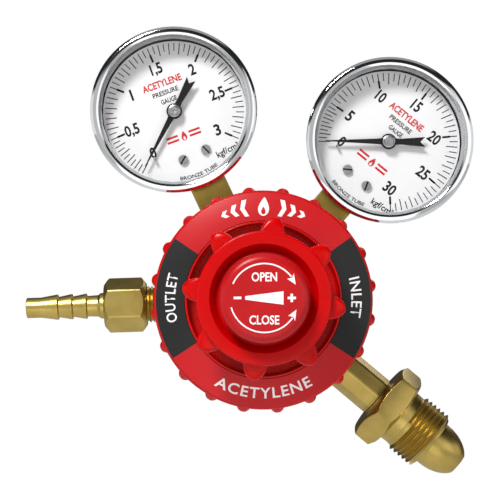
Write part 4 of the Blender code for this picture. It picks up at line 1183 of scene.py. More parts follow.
@dataclass
class Bonnet:
    """The brass bonnet, its red ribbed cover and the printed ring."""

    shop: Workshop
    cover: float = 37.2
    cover_back: float = 22.0
    cover_edge: float = 42.6
    crest: float = 45.0
    crest_radius: float = 26.2
    bead: float = 0.95
    floor: float = 41.5
    throat: float = 17.4
    grips: int = 20
    grip_radius: float = 38.7
    grip_width: float = 4.6
    grip_start: float = 7.5
    label_inner: float = 26.6
    label_outer: float = 36.4
    label_gap: float = 0.3
    label_thickness: float = 0.5
    dark_right: tuple[float, float] = (-33.0, 35.5)
    dark_left: tuple[float, float] = (145.3, 213.0)
    flame_height: float = 6.4
    chevron_width: float = 1.5
    chevron_heights: tuple[float, ...] = (5.78, 4.08, 2.38)
    chevron_start: float = 11.0
    chevron_step: float = 6.2

    def build(self) -> None:
        """Makes each piece."""
        shop = self.shop
        shop.place("bonnet_turned", self.bonnet(), shop.axis, Look.FORGED, "bonnet")
        shop.place("cover_moulding", self.moulding(), shop.axis, None, "bonnet_cover")
        shop.place("label_printed_ring", self.label(), shop.axis, None, "label_ring")
        shop.place("label_lettering", self.print_on_ring(), shop.axis, Look.LABEL_WHITE,
                   "label_ring", beside=True)

    def slope(self) -> float:
        """How fast the cover's front falls towards its edge."""
        return (self.cover_edge - self.crest) / (self.cover - 0.6 - self.crest_radius)

    def label_front(self, radius: float) -> float:
        """Depth of the printed ring's front at a radius."""
        lift = self.label_gap + self.label_thickness
        return self.crest + self.slope() * (radius - self.crest_radius) + lift

    def bonnet(self) -> bpy.types.Mesh:
        """The turned brass bonnet.

        Returns:
            Its mesh.
        """
        return shell([
            (4.3, 61.0), (9.0, 61.0, 0.6), (9.0, 56.4, 0.5), (17.0, 56.4, 0.8), (17.0, 39.0, 1.0),
            (32.7, 33.0, 0.6), (32.7, 23.0, 0.6), (30.3, 23.0), (30.3, 31.3), (19.0, 31.3),
            (19.0, 33.5), (14.0, 37.5), (14.0, 54.0), (4.3, 54.0),
        ], 96, closed=True)

    def moulding(self) -> bpy.types.Mesh:
        """The cover with its ring of finger ribs.

        Returns:
            Its mesh, with its finish.
        """
        body = shell([
            (self.throat, self.floor), (self.crest_radius - 0.7, self.floor, 0.8),
            (self.crest_radius - 0.5, self.crest + self.bead, 0.3),
            (self.label_inner - 0.12, self.crest + self.bead - 0.1, 0.25),
            (self.label_inner - 0.1, self.crest - 0.1), (self.cover - 0.6, self.cover_edge, 0.8),
            (self.cover, self.cover_edge - 0.8, 0.5), (self.cover, self.cover_back, 0.9),
            (33.1, self.cover_back, 0.3), (33.1, 33.6), (self.throat, 39.6),
        ], 160, closed=True)
        body.materials.append(self.shop.material(Look.COVER))
        ribs = grow(self.shop.trees.ring, self.rib(), {
            "Count": self.grips, "Start": math.radians(self.grip_start),
            "Step": math.tau / self.grips, "Finish": self.shop.material(Look.COVER),
        })
        return merged([body, creased(ribs, 40.0)])

    def rib(self) -> bpy.types.Mesh:
        """One finger rib, rounded over at its ends, pointing along local X.

        Returns:
            Its mesh.
        """
        rows, columns = 12, 10
        low, high = self.cover_back + 0.9, self.cover_edge - 1.2
        foot = self.cover - 0.8
        rise = self.grip_radius - self.cover
        fade = 1.8          # how far from its ends the rib starts to drop
        square = 2.6        # how square its section is, 2 being round
        foot_height = 0.25  # share of its height that is left at its ends
        foot_width = 0.7    # share of its width that is left at its ends
        sink = 0.35         # how far its ends sink into the cover
        vertices, faces = [], []
        for i in range(rows + 1):
            t = i / rows
            depth = low + (high - low) * t
            near = min(depth - low, high - depth)
            end = smooth_step(near / fade)
            for j in range(columns + 1):
                s = j / columns * 2.0 - 1.0
                hump = (1.0 - abs(s) ** square) * (foot_height + (1.0 - foot_height) * end)
                y = s * self.grip_width / 2.0 * (foot_width + (1.0 - foot_width) * end)
                vertices.append((self.cover + hump * rise - sink * (1.0 - end), y, depth))
        row = columns + 1
        for i in range(rows):
            for j in range(columns):
                a = i * row + j
                faces.append((a, a + 1, a + row + 1, a + row))
        back = len(vertices)
        rim = ([j for j in range(row)] + [i * row + columns for i in range(1, rows + 1)]
               + [rows * row + j for j in range(columns - 1, -1, -1)]
               + [i * row for i in range(rows - 1, 0, -1)])
        for k in rim:
            vertices.append((foot, vertices[k][1], vertices[k][2]))
        for k in range(len(rim)):
            n = (k + 1) % len(rim)
            faces.append((rim[k], back + k, back + n, rim[n]))
        faces.append(tuple(back + k for k in range(len(rim))))
        mesh = bpy.data.meshes.new("rib")
        mesh.from_pydata(vertices, [], faces)
        return welded(mesh, 50.0)

    def label(self) -> bpy.types.Mesh:
        """The printed ring, its red and black fields cut apart at their edges.

        Returns:
            Its mesh, with its finishes.
        """
        stops = [*self.dark_right, *self.dark_left]
        looks = [Look.LABEL_DARK, Look.LABEL, Look.LABEL_DARK, Look.LABEL]
        ends = stops[1:] + [stops[0] + 360.0]
        return merged([
            self.field(start, end, self.shop.material(look))
            for start, end, look in zip(stops, ends, looks)
        ])

    def field(self, start: float, end: float, finish: bpy.types.Material) -> bpy.types.Mesh:
        """One field of the printed ring, between two angles.

        Args:
            start: Angle of its first edge.
            end: Angle of its other edge.
            finish: Its material.

        Returns:
            Its mesh, with its finish.
        """
        count = int((end - start) / 2.0)
        inner, outer = self.label_inner, self.label_outer
        section = rounded([
            (inner, self.label_front(inner), 0.25), (outer, self.label_front(outer), 0.25),
            (outer, self.label_front(outer) - self.label_thickness),
            (inner, self.label_front(inner) - self.label_thickness),
        ], True)
        rows = len(section)
        vertices = [
            (*polar(r, start + (end - start) * i / count), z)
            for i in range(count + 1) for r, z in section
        ]
        faces = [
            (i * rows + k, i * rows + (k + 1) % rows, (i + 1) * rows + (k + 1) % rows,
             (i + 1) * rows + k)
            for i in range(count) for k in range(rows)
        ]
        faces.append(tuple(range(rows)))
        faces.append(tuple(count * rows + k for k in reversed(range(rows))))
        mesh = bpy.data.meshes.new("field")
        mesh.from_pydata(vertices, [], faces)
        mesh.materials.append(finish)
        return welded(mesh)

    def print_on_ring(self) -> bpy.types.Mesh:
        """White print: the gas below, a flame above, and the ports at the sides.

        Returns:
            Its mesh.
        """
        middle = (self.label_inner + self.label_outer) / 2.0
        front = self.label_front
        words = [
            wrapped(lettering("ACETYLENE", 3.7, 33.0, 0.016, 1.12), middle, 270.0,
                    Reading.INWARD, front),
            wrapped(lettering("OUTLET", 3.6, 16.5, 0.012, 1.08), middle, 179.0,
                    Reading.OUTWARD, front),
            wrapped(lettering("INLET", 3.6, 13.5, 0.012, 1.08), middle, 1.5,
                    Reading.OUTWARD, front),
            wrapped(flame(self.flame_height), middle, 90.0, Reading.OUTWARD, front),
        ]
        for side in (-1.0, 1.0):
            for step, height in enumerate(self.chevron_heights):
                bar = plate([chevron(self.chevron_width, height, side)], INK)
                angle = 90.0 + side * (self.chevron_start + self.chevron_step * step)
                words.append(wrapped(bar, middle, angle, Reading.OUTWARD, front))
        return merged(words)


def flame(height: float) -> bpy.types.Mesh:
    """A plain flame sign with a smaller drop cut out of its foot.

    Args:
        height: Its height.

    Returns:
        Its mesh, standing on the local plane.
    """
    def drop(size: float, lift: float, lean: float) -> list[tuple[float, float]]:
        """Outline of a drop, round at its foot and drawn out to a leaning point.

        Args:
            size: Its height.
            lift: Height of its middle.
            lean: How far its point leans over.

        Returns:
            The outline's points.
        """
        points = []
        for i in range(36):
            t = math.tau * i / 36
            narrow = (0.5 + 0.5 * math.cos(t)) ** 1.6
            y = size * (0.5 * math.cos(t)) + lift
            x = size * 0.36 * math.sin(t) * (1.0 - 0.75 * narrow) + lean * narrow * size
            points.append((x, y))
        return points

    return plate([drop(height, 0.0, 0.06), drop(height * 0.42, -height * 0.22, 0.03)], INK)


def chevron(width: float, height: float, side: float) -> list[tuple[float, float]]:
    """Outline of an arrowhead stripe that points away from the middle.

    Args:
        width: Width of the stripe.
        height: Its height.
        side: 1 or -1, the side of the middle that it stands on.

    Returns:
        The outline's points.
    """
    point = -side * width * 0.75
    half = height / 2.0
    return [
        (-width / 2.0, half), (width / 2.0, half), (width / 2.0 + point, 0.0),
        (width / 2.0, -half), (-width / 2.0, -half), (-width / 2.0 + point, 0.0),
    ]


# ---------------------------------------------------------------- knob

@dataclass
class Knob:
    """The lobed adjusting knob and its printed cap."""

    shop: Workshop
    skirt: float = 20.5
    rim: float = 21.6
    rim_front: float = 76.0
    lobes: int = 8
    lobe_radius: float = 26.5
    lobe_half: float = 4.0
    lobe_height: float = 6.2
    lobe_start: float = 37.5
    lobe_back: float = 56.0
    lobe_front: float = 73.2
    lobe_ease: float = 1.7
    lobe_blend: float = 0.35
    cap: float = 14.4
    cap_front: float = 84.0
    crown: float = 3.0

    def build(self) -> None:
        """Makes each piece."""
        shop = self.shop
        shop.place("knob_moulding", shell(self.profile, 288, closed=True), shop.axis,
                   Look.KNOB, "knob")
        shop.place("knob_cap_plate", self.cap_plate(), shop.axis, Look.CAP, "knob_cap")
        shop.place("knob_cap_print", self.cap_print(), shop.axis, Look.LABEL_WHITE, "knob_cap",
                   beside=True)

    def lobe(self, angle: float) -> float:
        """How far the nearest lobe's oval reaches at an angle.

        Args:
            angle: Where round the axis.

        Returns:
            The oval's outer radius, or 0 between lobes.
        """
        step = 360.0 / self.lobes
        off = math.radians((angle - self.lobe_start + step / 2.0) % step - step / 2.0)
        centre = self.lobe_radius - self.lobe_height
        a, b = self.lobe_height ** 2, self.lobe_half ** 2
        first = math.cos(off) ** 2 / a + math.sin(off) ** 2 / b
        second = centre * math.cos(off) / a
        rest = second ** 2 - first * (centre ** 2 / a - 1.0)
        return (second + math.sqrt(rest)) / first if rest > 0.0 else 0.0

    def profile(self, angle: float) -> list[Corner]:
        """The knob's section at an angle, from its boss round to its bore.

        Args:
            angle: Where round the axis.

        Returns:
            The section's corners.
        """
        reach = self.lobe(angle)

        def out(base: float, share: float) -> float:
            """The radius where a share of the lobe stands proud of the base."""
            gap = (reach - base) * share
            return base + 0.5 * (gap + math.sqrt(gap * gap + self.lobe_blend * share * share))

        corners: list[Corner] = [
            (7.0, 78.0), (12.3, 78.0), (12.3, 72.8), (15.3, 72.8, 0.7),
            (17.4, self.rim_front, 0.5), (self.rim, self.rim_front, 0.9),
            (self.rim, self.lobe_front + 0.7),
        ]
        for i in range(7):
            turn = math.radians(90.0 * i / 6.0)
            base = self.rim if i < 2 else self.skirt + 0.9 * math.cos(turn)
            corners.append((out(base, math.sin(turn) ** 0.8),
                            self.lobe_front - self.lobe_ease * (1.0 - math.cos(turn))))
        corners.append((out(self.skirt, 1.0), (self.lobe_front + self.lobe_back) / 2.0))
        for i in range(5):
            turn = math.radians(90.0 * (1.0 - i / 4.0))
            corners.append((out(self.skirt, math.sin(turn)),
                            self.lobe_back + 1.0 - math.cos(turn)))
        corners += [
            (self.skirt, self.lobe_back - 0.3), (self.skirt, 52.0, 0.6), (18.2, 52.0, 0.4),
            (18.2, 70.0), (9.0, 70.0), (9.0, 67.5), (3.3, 67.5), (3.3, 72.0), (7.0, 72.0),
        ]
        return corners

    def cap_height(self, radius: float) -> float:
        """Depth of the cap's front at a radius, with a faint dome.

        Args:
            radius: Distance from the axis.

        Returns:
            The depth there.
        """
        over = max(0.0, radius - (self.cap - self.crown)) / self.crown
        edge = self.crown * (1.0 - math.sqrt(max(0.0, 1.0 - min(over, 1.0) ** 2)))
        return self.cap_front - 0.15 * (radius / self.cap) ** 2 - edge

    def cap_plate(self) -> bpy.types.Mesh:
        """The cap with its rounded edge.

        Returns:
            Its mesh.
        """
        radii = [0.0, 4.0, 8.0, self.cap - self.crown]
        radii += [self.cap - self.crown + self.crown * math.sin(math.radians(9.0 * i))
                  for i in range(1, 11)]
        corners: list[Corner] = [(r, self.cap_height(r)) for r in radii]
        corners += [(self.cap, 74.3, 0.3), (12.6, 74.3), (12.6, 81.0), (0.0, 81.0)]
        return shell(corners, 128)

    def cap_print(self) -> bpy.types.Mesh:
        """White arrows with OPEN and CLOSE, and a low-to-high wedge between its signs.

        Returns:
            Its mesh.
        """
        arrow = self.cap - self.crown - 0.6
        wedge = [(-6.0, -0.55), (6.0, -2.1), (6.0, 2.1), (-6.0, 0.55)]
        minus = [(-9.6, -0.4), (-7.2, -0.4), (-7.2, 0.4), (-9.6, 0.4)]
        plus = [(7.3, -0.4), (8.2, -0.4), (8.2, -1.3), (9.0, -1.3), (9.0, -0.4), (9.9, -0.4),
                (9.9, 0.4), (9.0, 0.4), (9.0, 1.3), (8.2, 1.3), (8.2, 0.4), (7.3, 0.4)]
        parts = [
            plate([band(arrow, 0.45, 156.0, 38.0)], INK),
            plate([self.arrowhead(arrow, 38.0, -1.0)], INK),
            plate([band(arrow, 0.45, 196.0, 325.0)], INK),
            plate([self.arrowhead(arrow, 325.0, 1.0)], INK),
            moved(lettering("OPEN", 2.9, 8.0, 0.02), 0.0, 6.6, 0.0),
            moved(lettering("CLOSE", 2.9, 9.4, 0.02), 0.0, -6.9, 0.0),
            plate([wedge], INK), plate([minus], INK), plate([plus], INK),
        ]
        whole = merged(parts)
        for vertex in whole.vertices:
            radius = math.hypot(vertex.co.x, vertex.co.y)
            vertex.co.z += self.cap_height(radius)
        whole.shade_flat()
        return whole

    @staticmethod
    def arrowhead(radius: float, angle: float, way: float) -> list[tuple[float, float]]:
        """Outline of the head at the end of an arc.

        Args:
            radius: Radius of the arc.
            angle: Angle of its end.
            way: 1 where the arc runs anticlockwise, -1 where it runs clockwise.

        Returns:
            The outline's points.
        """
        return [
            polar(radius + 1.25, angle - way * 2.0), polar(radius - 0.1, angle + way * 15.0),
            polar(radius - 1.45, angle - way * 2.0), polar(radius, angle + way * 2.0),
        ]


# ---------------------------------------------------------------- inlet and outlet

@dataclass
class Inlet:
    """The inlet: nipple with its bullet nose, and the nut that draws it in."""

    shop: Workshop
    bar_flats: float = 13.4
    bar_turn: float = 21.0
    bar_end: float = 53.3
    nut_hex: float = 27.0
    nut_turn: float = -12.8
    nut_rear: float = 53.8
    hex_front: float = 62.5
    neck: float = 10.2
    thread_start: float = 66.3
    nut_end: float = 77.9
    thread: float = 11.25
    pitch: float = 1.814
    depth: float = 1.1
    nose: float = 8.4
    nose_back: float = 74.3
    shoulder: float = 79.5
    tip: float = 90.1
    tip_radius: float = 4.0
    bore: float = 2.5

    def build(self) -> None:
        """Makes each piece."""
        stand = self.shop.port("inlet_seat")
        for name, mesh, node in (
            ("turned_brass_inlet", shell(self.nipple, 120, closed=True), "inlet_nipple"),
            ("turned_brass_inlet_nut", self.nut(), "inlet_nut"),
        ):
            brass = turned_brass(name, stand, "C0A75E", "AA924E")
            self.shop.place(f"{node}_turned", mesh, stand, brass, node)

    def nipple(self, angle: float) -> list[Corner]:
        """The nipple's section: bullet nose, shank and eight-sided bar.

        Args:
            angle: Where round the axis.

        Returns:
            Its corners, from the tip round to the bore.
        """
        bar = flats_radius(angle, 8, self.bar_flats, self.bar_turn, 90.0)
        length = self.tip - self.shoulder
        start = math.acos(self.tip_radius / self.nose)
        nose = []
        for i in range(13):
            a = start * (1.0 - i / 12.0)
            nose.append((self.nose * math.cos(a),
                         self.shoulder + length * math.sin(a) / math.sin(start)))
        return [(self.bore, self.tip, 0.3), *nose, (self.nose, self.nose_back, 0.5),
                (6.5, self.nose_back), (6.5, self.bar_end), (bar, self.bar_end - 0.3, 0.3),
                (bar, 29.5, 0.6), (6.6, 28.0, 0.3), (PORT_THREAD, 27.2),
                (PORT_THREAD, PORT_FLOOR), (self.bore, PORT_FLOOR)]

    def nut_section(self, angle: float) -> list[Corner]:
        """The nut's section: sleeve, neck and hexagon.

        Args:
            angle: Where round the axis.

        Returns:
            Its corners, from its end round to its bore.
        """
        edge = flats_radius(angle, 6, self.nut_hex, self.nut_turn, MILLED)
        face = self.nut_hex / 2.0 * 0.96
        drop = (edge - face) * 0.6
        root = self.thread - self.depth
        return [
            (8.8, self.nut_end, 0.3), (root - 0.3, self.nut_end, 0.4),
            (root, self.nut_end - 0.8), (root, self.thread_start + 0.4),
            (self.neck - 0.2, self.thread_start - 0.2, 0.3),
            (self.neck, self.hex_front, 0.8), (face, self.hex_front, 0.5),
            (edge, self.hex_front - drop, 0.5), (edge, self.nut_rear + drop, 0.5),
            (face, self.nut_rear, 0.4), (6.9, self.nut_rear, 0.3), (6.9, 74.0), (8.8, 74.0),
        ]

    def nut(self) -> bpy.types.Mesh:
        """The hexagon with its collar, and the left-hand thread on its sleeve.

        Returns:
            Its mesh.
        """
        core = shell(self.nut_section, 168, closed=True)
        return self.shop.threaded(core, self.thread - self.depth, self.pitch, self.depth,
                                  self.thread_start + 0.7, self.nut_end - self.thread_start - 1.2)


@dataclass
class Outlet:
    """The outlet: threaded fitting, union nut and barbed hose tail."""

    shop: Workshop
    flange_hex: float = 16.0
    flange_end: float = 36.0
    thread: float = 6.58
    pitch: float = 1.337
    depth: float = 0.8
    seat: float = 47.5
    nut_hex: float = 17.0
    nut_turn: float = 3.0
    nut_rear: float = 41.2
    nut_end: float = 56.2
    neck: float = 4.55
    tip: float = 84.0
    bore: float = 2.3
    crest: float = 4.5
    root: float = 3.65
    first: float = 62.7
    step: float = 5.1
    barbs: int = 3
    lead: float = 5.1

    def build(self) -> None:
        """Makes each piece."""
        shop, stand = self.shop, self.shop.port("hose_end")
        brass = turned_brass("turned_brass_outlet", stand, "C4AC60", "B09850")
        shop.place("outlet_fitting_turned", self.fitting(), stand, brass, "outlet_fitting")
        shop.place("outlet_nut_turned", shell(self.nut, 168, closed=True), stand, brass,
                   "outlet_nut")
        shop.place("hose_tail_turned", shell(self.tail(), 72, closed=True), stand, brass,
                   "hose_nipple")

    def fitting_section(self, angle: float) -> list[Corner]:
        """The fitting's section: thread, hexagon flange and the end in the body.

        Args:
            angle: Where round the axis.

        Returns:
            Its corners, from the seat round to the bore.
        """
        root = self.thread - self.depth
        edge = flats_radius(angle, 6, self.flange_hex, 0.0, MILLED)
        face = self.flange_hex / 2.0 * 0.97
        drop = (edge - face) * 0.6
        return [
            (5.3, self.seat), (root, self.seat, 0.2), (root, self.flange_end + 0.4),
            (root - 0.1, self.flange_end), (face, self.flange_end, 0.2),
            (edge, self.flange_end - drop, 0.3), (edge, 28.0 + drop, 0.3), (face, 28.0),
            (PORT_THREAD, 27.6), (PORT_THREAD, PORT_FLOOR), (3.0, PORT_FLOOR),
            (3.0, self.seat - 2.6),
        ]

    def fitting(self) -> bpy.types.Mesh:
        """Hexagon flange and left-hand thread, with a cone for the hose tail's seat.

        Returns:
            Its mesh.
        """
        core = shell(self.fitting_section, 144, closed=True)
        return self.shop.threaded(core, self.thread - self.depth, self.pitch, self.depth * 0.95,
                                  self.flange_end + 0.9, self.seat - self.flange_end - 1.4)

    def nut(self, angle: float) -> list[Corner]:
        """The union nut's section, its corners turned back at both ends.

        Args:
            angle: Where round the axis.

        Returns:
            Its corners, from its front round to its bore.
        """
        edge = flats_radius(angle, 6, self.nut_hex, self.nut_turn, MILLED)
        face = self.nut_hex / 2.0 * 0.95
        drop = (edge - face) * 0.9
        wall = self.nut_end - 3.6
        return [
            (self.neck + 0.35, self.nut_end), (face - 0.6, self.nut_end, 0.3),
            (edge, self.nut_end - drop - 0.3, 0.4), (edge, self.nut_rear + drop + 0.3, 0.4),
            (face - 0.6, self.nut_rear, 0.3), (self.thread + 0.3, self.nut_rear, 0.2),
            (self.thread + 0.3, wall), (self.neck + 0.35, wall),
        ]

    def tail(self) -> list[Corner]:
        """The hose tail's section: three barbs and a lead.

        Returns:
            Its corners, from the tip round to the bore.
        """
        lead = self.root - 0.05
        corners: list[Corner] = [
            (self.bore, self.tip, 0.2), (lead, self.tip, 0.4), (lead, self.tip - self.lead),
        ]
        last = self.first + self.step * (self.barbs - 1)
        for i in range(self.barbs):
            crest = last - i * self.step
            corners += [(self.crest, crest + 0.25, 0.12), (self.crest, crest - 0.1, 0.12),
                        (self.root, crest - 0.45, 0.1)]
        corners += [
            (self.neck - 0.7, self.nut_end + 2.3, 0.4), (self.neck, self.nut_end + 1.4, 0.3),
            (self.neck, 52.3), (6.4, 52.3), (6.4, 47.9), (4.95, self.seat),
            (2.65, self.seat - 2.3), (self.bore, self.seat - 2.3),
        ]
        return corners


# ---------------------------------------------------------------- gauges

@dataclass
class Gauge:
    """One pressure gauge: socket, case, bezel, window, printed dial and pointer."""

    shop: Workshop
    name: str
    labels: tuple[str, ...]
    first: float
    step: float
    reach: float
    case: float = 27.0
    bezel: float = 29.0
    sight: float = 26.0
    square: float = 13.0
    pane: float = 26.9
    pane_back: float = 30.8
    pane_front: float = 32.0
    dial: float = 25.2
    dial_back: float = 24.0
    dial_front: float = 24.6
    port_depth: float = 14.0
    shank_start: float = 28.3
    divisions: int = 10
    tick_outer: float = 24.4
    tick_short: float = 21.6
    tick_long: float = 20.4
    tick_fine: float = 0.3
    tick_bold: float = 0.32
    block_inner: float = 19.1
    block_outer: float = 21.9
    block_width: float = 0.7
    digit_height: float = 4.1
    comma_height: float = 4.7
    digit_weight: float = 0.028
    number_radius: float = 16.3
    pin_lead: float = 5.5
    text_turn: float = 0.0
    screw_x: float = 4.35
    screw_y: float = -16.7
    screw_foot: float = 25.15
    screw_step: float = 0.42
    screw_crown: float = 0.13
    slot_lean: float = 11.5
    blade_length: float = 22.0
    blade_depth: float = 26.6
    hub: float = 2.75
    stand: Stand = field(init=False)
    zero: float = field(init=False)

    def __post_init__(self) -> None:
        """Finds the gauge's axis, its up direction and its zero from the frame."""
        shop = self.shop
        turn = shop.joints[f"{self.name}_pointer_turn"]["pos_m"]
        centre = Vector((turn[0], shop.back.y, turn[2]))
        screws = (shop.centre(f"{self.name}_dial_screw_1")
                  + shop.centre(f"{self.name}_dial_screw_2")) / 2.0
        up = centre - screws
        up.y = 0.0
        self.stand = Stand(centre, FRONT, up.normalized())
        pin = self.stand.angle_of(shop.centre(f"{self.name}_stop_pin"))
        self.zero = pin - self.pin_lead

    def angle(self, number: int) -> float:
        """The angle of a numbered mark.

        Args:
            number: The mark, counted from zero.

        Returns:
            Its angle.
        """
        if number == 0:
            return self.zero
        return self.zero - self.first - self.step * (number - 1)

    def build(self) -> None:
        """Makes each piece."""
        pieces = (
            ("stem", self.stem(), Look.STEM, "socket", False),
            ("case_pressing", self.case_pressing(), None, "case", False),
            ("bezel_rolled", self.bezel_ring(), Look.CHROME, "bezel", False),
            ("window_pane", self.window(), Look.GLASS, "window", False),
            ("dial_sheet", self.dial_sheet(), Look.DIAL, "dial", False),
            ("dial_scale", self.scale(), Look.DIAL_BLACK, "dial", True),
            ("dial_words", self.words(), Look.DIAL_RED, "dial", True),
            ("slotted_screw_1", self.screw(-1.0, 35.0), None, "dial_screw_1", False),
            ("slotted_screw_2", self.screw(1.0, -70.0), None, "dial_screw_2", False),
            ("stop_peg", self.peg(), Look.STEEL, "stop_pin", False),
            ("pointer_blade", self.blade(), Look.POINTER, "pointer", False),
            ("pointer_button", self.button(), Look.STEEL, "pointer_cap", False),
        )
        for piece, mesh, look, node, beside in pieces:
            self.shop.place(f"{self.name}_{piece}", mesh, self.stand, look,
                            f"{self.name}_{node}", beside)

    def port(self) -> Stand:
        """The stand of its boss on the body: local Z is the reach.

        Returns:
            The stand, its origin level with the knob axis.
        """
        up = self.stand.up
        across = up.cross(FRONT)
        side = (self.stand.origin - self.shop.back).dot(across)
        foot = Vector((self.shop.back.x, 0.0, self.shop.back.z)) + across * side
        return Stand(foot, up, across)

    def stem_section(self, angle: float) -> list[Corner]:
        """The stem's section at an angle, along its own length.

        Args:
            angle: Where round the stem.

        Returns:
            Its corners, from the case down to the thread in the body.
        """
        start = self.shank_start - self.reach
        edge = flats_radius(angle, 4, self.square, 0.0, DRAWN)
        corner = min(edge, self.square / 2.0 * 1.25)
        return [
            (0.0, 3.0 - self.case), (edge, 3.0 - self.case), (edge, start + 1.2, 0.3),
            (corner * 0.94, start, 0.3), (PORT_THREAD, start, 0.1),
            (PORT_THREAD, PORT_FLOOR - self.reach), (0.0, PORT_FLOOR - self.reach),
        ]

    @staticmethod
    def block_section(angle: float) -> list[Corner]:
        """The section of the block inside the case, which holds the movement."""
        edge = min(flats_radius(angle, 4, 12.0, 0.0, DRAWN), 8.2)
        return [(0.0, 8.0), (edge, 8.0, 0.2), (edge, -5.0), (0.0, -5.0)]

    def stem(self) -> bpy.types.Mesh:
        """The square brass stem, its edges eased and its shoulders turned.

        Returns:
            Its mesh.
        """
        along = Matrix.Translation((0.0, 0.0, self.port_depth)) @ Matrix.Rotation(
            math.radians(-90.0), 4, "X")
        shaft = shell(self.stem_section, 128)
        shaft.transform(along)
        block = shell(self.block_section, 96)
        block.transform(Matrix.Translation((0.0, -20.2, self.port_depth)))
        return merged([shaft, block])

    def case_pressing(self) -> bpy.types.Mesh:
        """The pressed case: painted outside and bright inside, ribbed at its back.

        Returns:
            Its mesh, with its finishes.
        """
        inside = self.case - 1.2
        mesh = shell([
            (0.0, 6.2), (inside - 3.0, 6.2, 1.0), (inside, 9.0, 1.5), (inside, 29.6),
            (self.case, 29.6, 0.2), (self.case, 5.2, 3.0), (21.0, 5.0, 0.6), (20.2, 5.6, 0.5),
            (19.0, 5.6, 0.5), (18.2, 5.0, 0.6), (6.2, 5.0, 0.3), (5.8, 5.5, 0.3), (0.0, 5.5),
        ], 128)
        mesh.materials.append(self.shop.material(Look.CASE))
        mesh.materials.append(self.shop.material(Look.LINER))
        for face in mesh.polygons:
            x, y, height = face.center
            inner_wall = (face.normal.x * x + face.normal.y * y < 0.0
                          and math.hypot(x, y) > 20.0 and height > 6.5)
            inner_back = face.normal.z > 0.5 and 6.0 < height < 10.0
            if inner_wall or inner_back:
                face.material_index = 1
        return mesh

    def bezel_ring(self) -> bpy.types.Mesh:
        """The rolled bezel: a lip over the glass, a round crown and a plain skirt.

        Returns:
            Its mesh.
        """
        return shell([
            (27.3, 32.1), (self.sight, 32.1, 0.1), (self.sight + 0.1, 32.7, 0.2),
            (self.sight + 0.9, 33.0, 0.5), (28.1, 32.75, 0.6), (self.bezel, 31.9, 0.15),
            (self.bezel - 0.6, 24.6, 0.3), (self.bezel - 0.8, 24.0, 0.2),
            (27.3, 24.0),
        ], 160, closed=True)

    def window(self) -> bpy.types.Mesh:
        """The flat pane with ground edges.

        Returns:
            Its mesh.
        """
        return shell([
            (0.0, self.pane_front), (self.pane, self.pane_front, 0.2),
            (self.pane, self.pane_back, 0.2), (0.0, self.pane_back),
        ], 96)

    def dial_sheet(self) -> bpy.types.Mesh:
        """The sheet dial with its hole for the pointer's arbor.

        Returns:
            Its mesh.
        """
        return shell([
            (1.6, self.dial_front), (self.dial, self.dial_front, 0.15),
            (self.dial, self.dial_back), (1.6, self.dial_back),
        ], 128, closed=True)

    def mark(self, inner: float, outer: float, width: float) -> bpy.types.Mesh:
        """One printed mark along local X.

        Args:
            inner: Radius of its inner end.
            outer: Radius of its outer end.
            width: Its width.

        Returns:
            Its mesh, on the dial.
        """
        half = width / 2.0
        return moved(plate([[(inner, -half), (outer, -half), (outer, half), (inner, half)]], INK),
                     0.0, 0.0, self.dial_front)

    def ticks(self, mark: bpy.types.Mesh, count: int, start: float, step: float
              ) -> bpy.types.Mesh:
        """A fan of equal marks.

        Args:
            mark: One mark along local X.
            count: How many.
            start: Angle of the first.
            step: Angle between two.

        Returns:
            Their mesh.
        """
        return grow(self.shop.trees.ring, mark, {
            "Count": count, "Start": math.radians(start), "Step": math.radians(step),
            "Finish": self.shop.material(Look.DIAL_BLACK),
        })

    def said(self, text: str, height: float, width: float, weight: float,
             x: float, y: float, turn: float = 0.0) -> bpy.types.Mesh:
        """One printed line, placed on the dial in the slightly turned frame of its print.

        Args:
            text: What it says.
            height: Its height.
            width: Its length.
            weight: How far its strokes are thickened.
            x: Its middle, across the print.
            y: Its middle, up the print.
            turn: Its own turn.

        Returns:
            Its mesh.
        """
        spot = Matrix.Rotation(math.radians(self.text_turn), 4, "Z") @ Vector((x, y, 0.0))
        return moved(lettering(text, height, width, weight), spot.x, spot.y, self.dial_front,
                     self.text_turn + turn)

    def scale(self) -> bpy.types.Mesh:
        """The black print: fine marks, bold marks, numbers, unit and small words.

        Returns:
            Its mesh.
        """
        last = len(self.labels) - 1
        parts = []
        for number in range(last):
            start, end = self.angle(number), self.angle(number + 1)
            fine = (end - start) / self.divisions
            parts.append(self.ticks(
                self.mark(self.tick_short, self.tick_outer, self.tick_fine), 5, start + fine,
                2.0 * fine))
            parts.append(self.ticks(
                self.mark(self.tick_long, self.tick_outer, self.tick_bold), 5, start,
                2.0 * fine))
        parts.append(self.ticks(self.mark(self.tick_long, self.tick_outer, self.tick_bold), 1,
                                self.angle(last), 0.0))
        parts.append(self.ticks(self.mark(self.block_inner, self.block_outer, self.block_width),
                                last, self.angle(1), -self.step))
        level = Matrix.Rotation(math.radians(-self.text_turn), 4, "Z")
        for number, label in enumerate(self.labels):
            height = self.comma_height if "," in label else self.digit_height
            spot = level @ Vector((*polar(self.number_radius, self.angle(number)), 0.0))
            parts.append(self.said(label, height, self.label_width(label), self.digit_weight,
                                   spot.x, spot.y))
        parts.append(self.said("PRESSURE", 1.75, 9.4, 0.022, -0.6, 7.7))
        parts.append(self.said("GAUGE", 1.75, 5.8, 0.022, -0.4, 4.7))
        parts.append(self.said("kgf/cm²", 3.0, 8.6, 0.016, 12.9, -19.3, 7.0))
        parts.append(wrapped(lettering("BRONZE TUBE", 1.3, 14.0, 0.016), 23.6,
                             271.5 + self.text_turn, Reading.INWARD,
                             lambda radius: self.dial_front))
        return merged(parts)

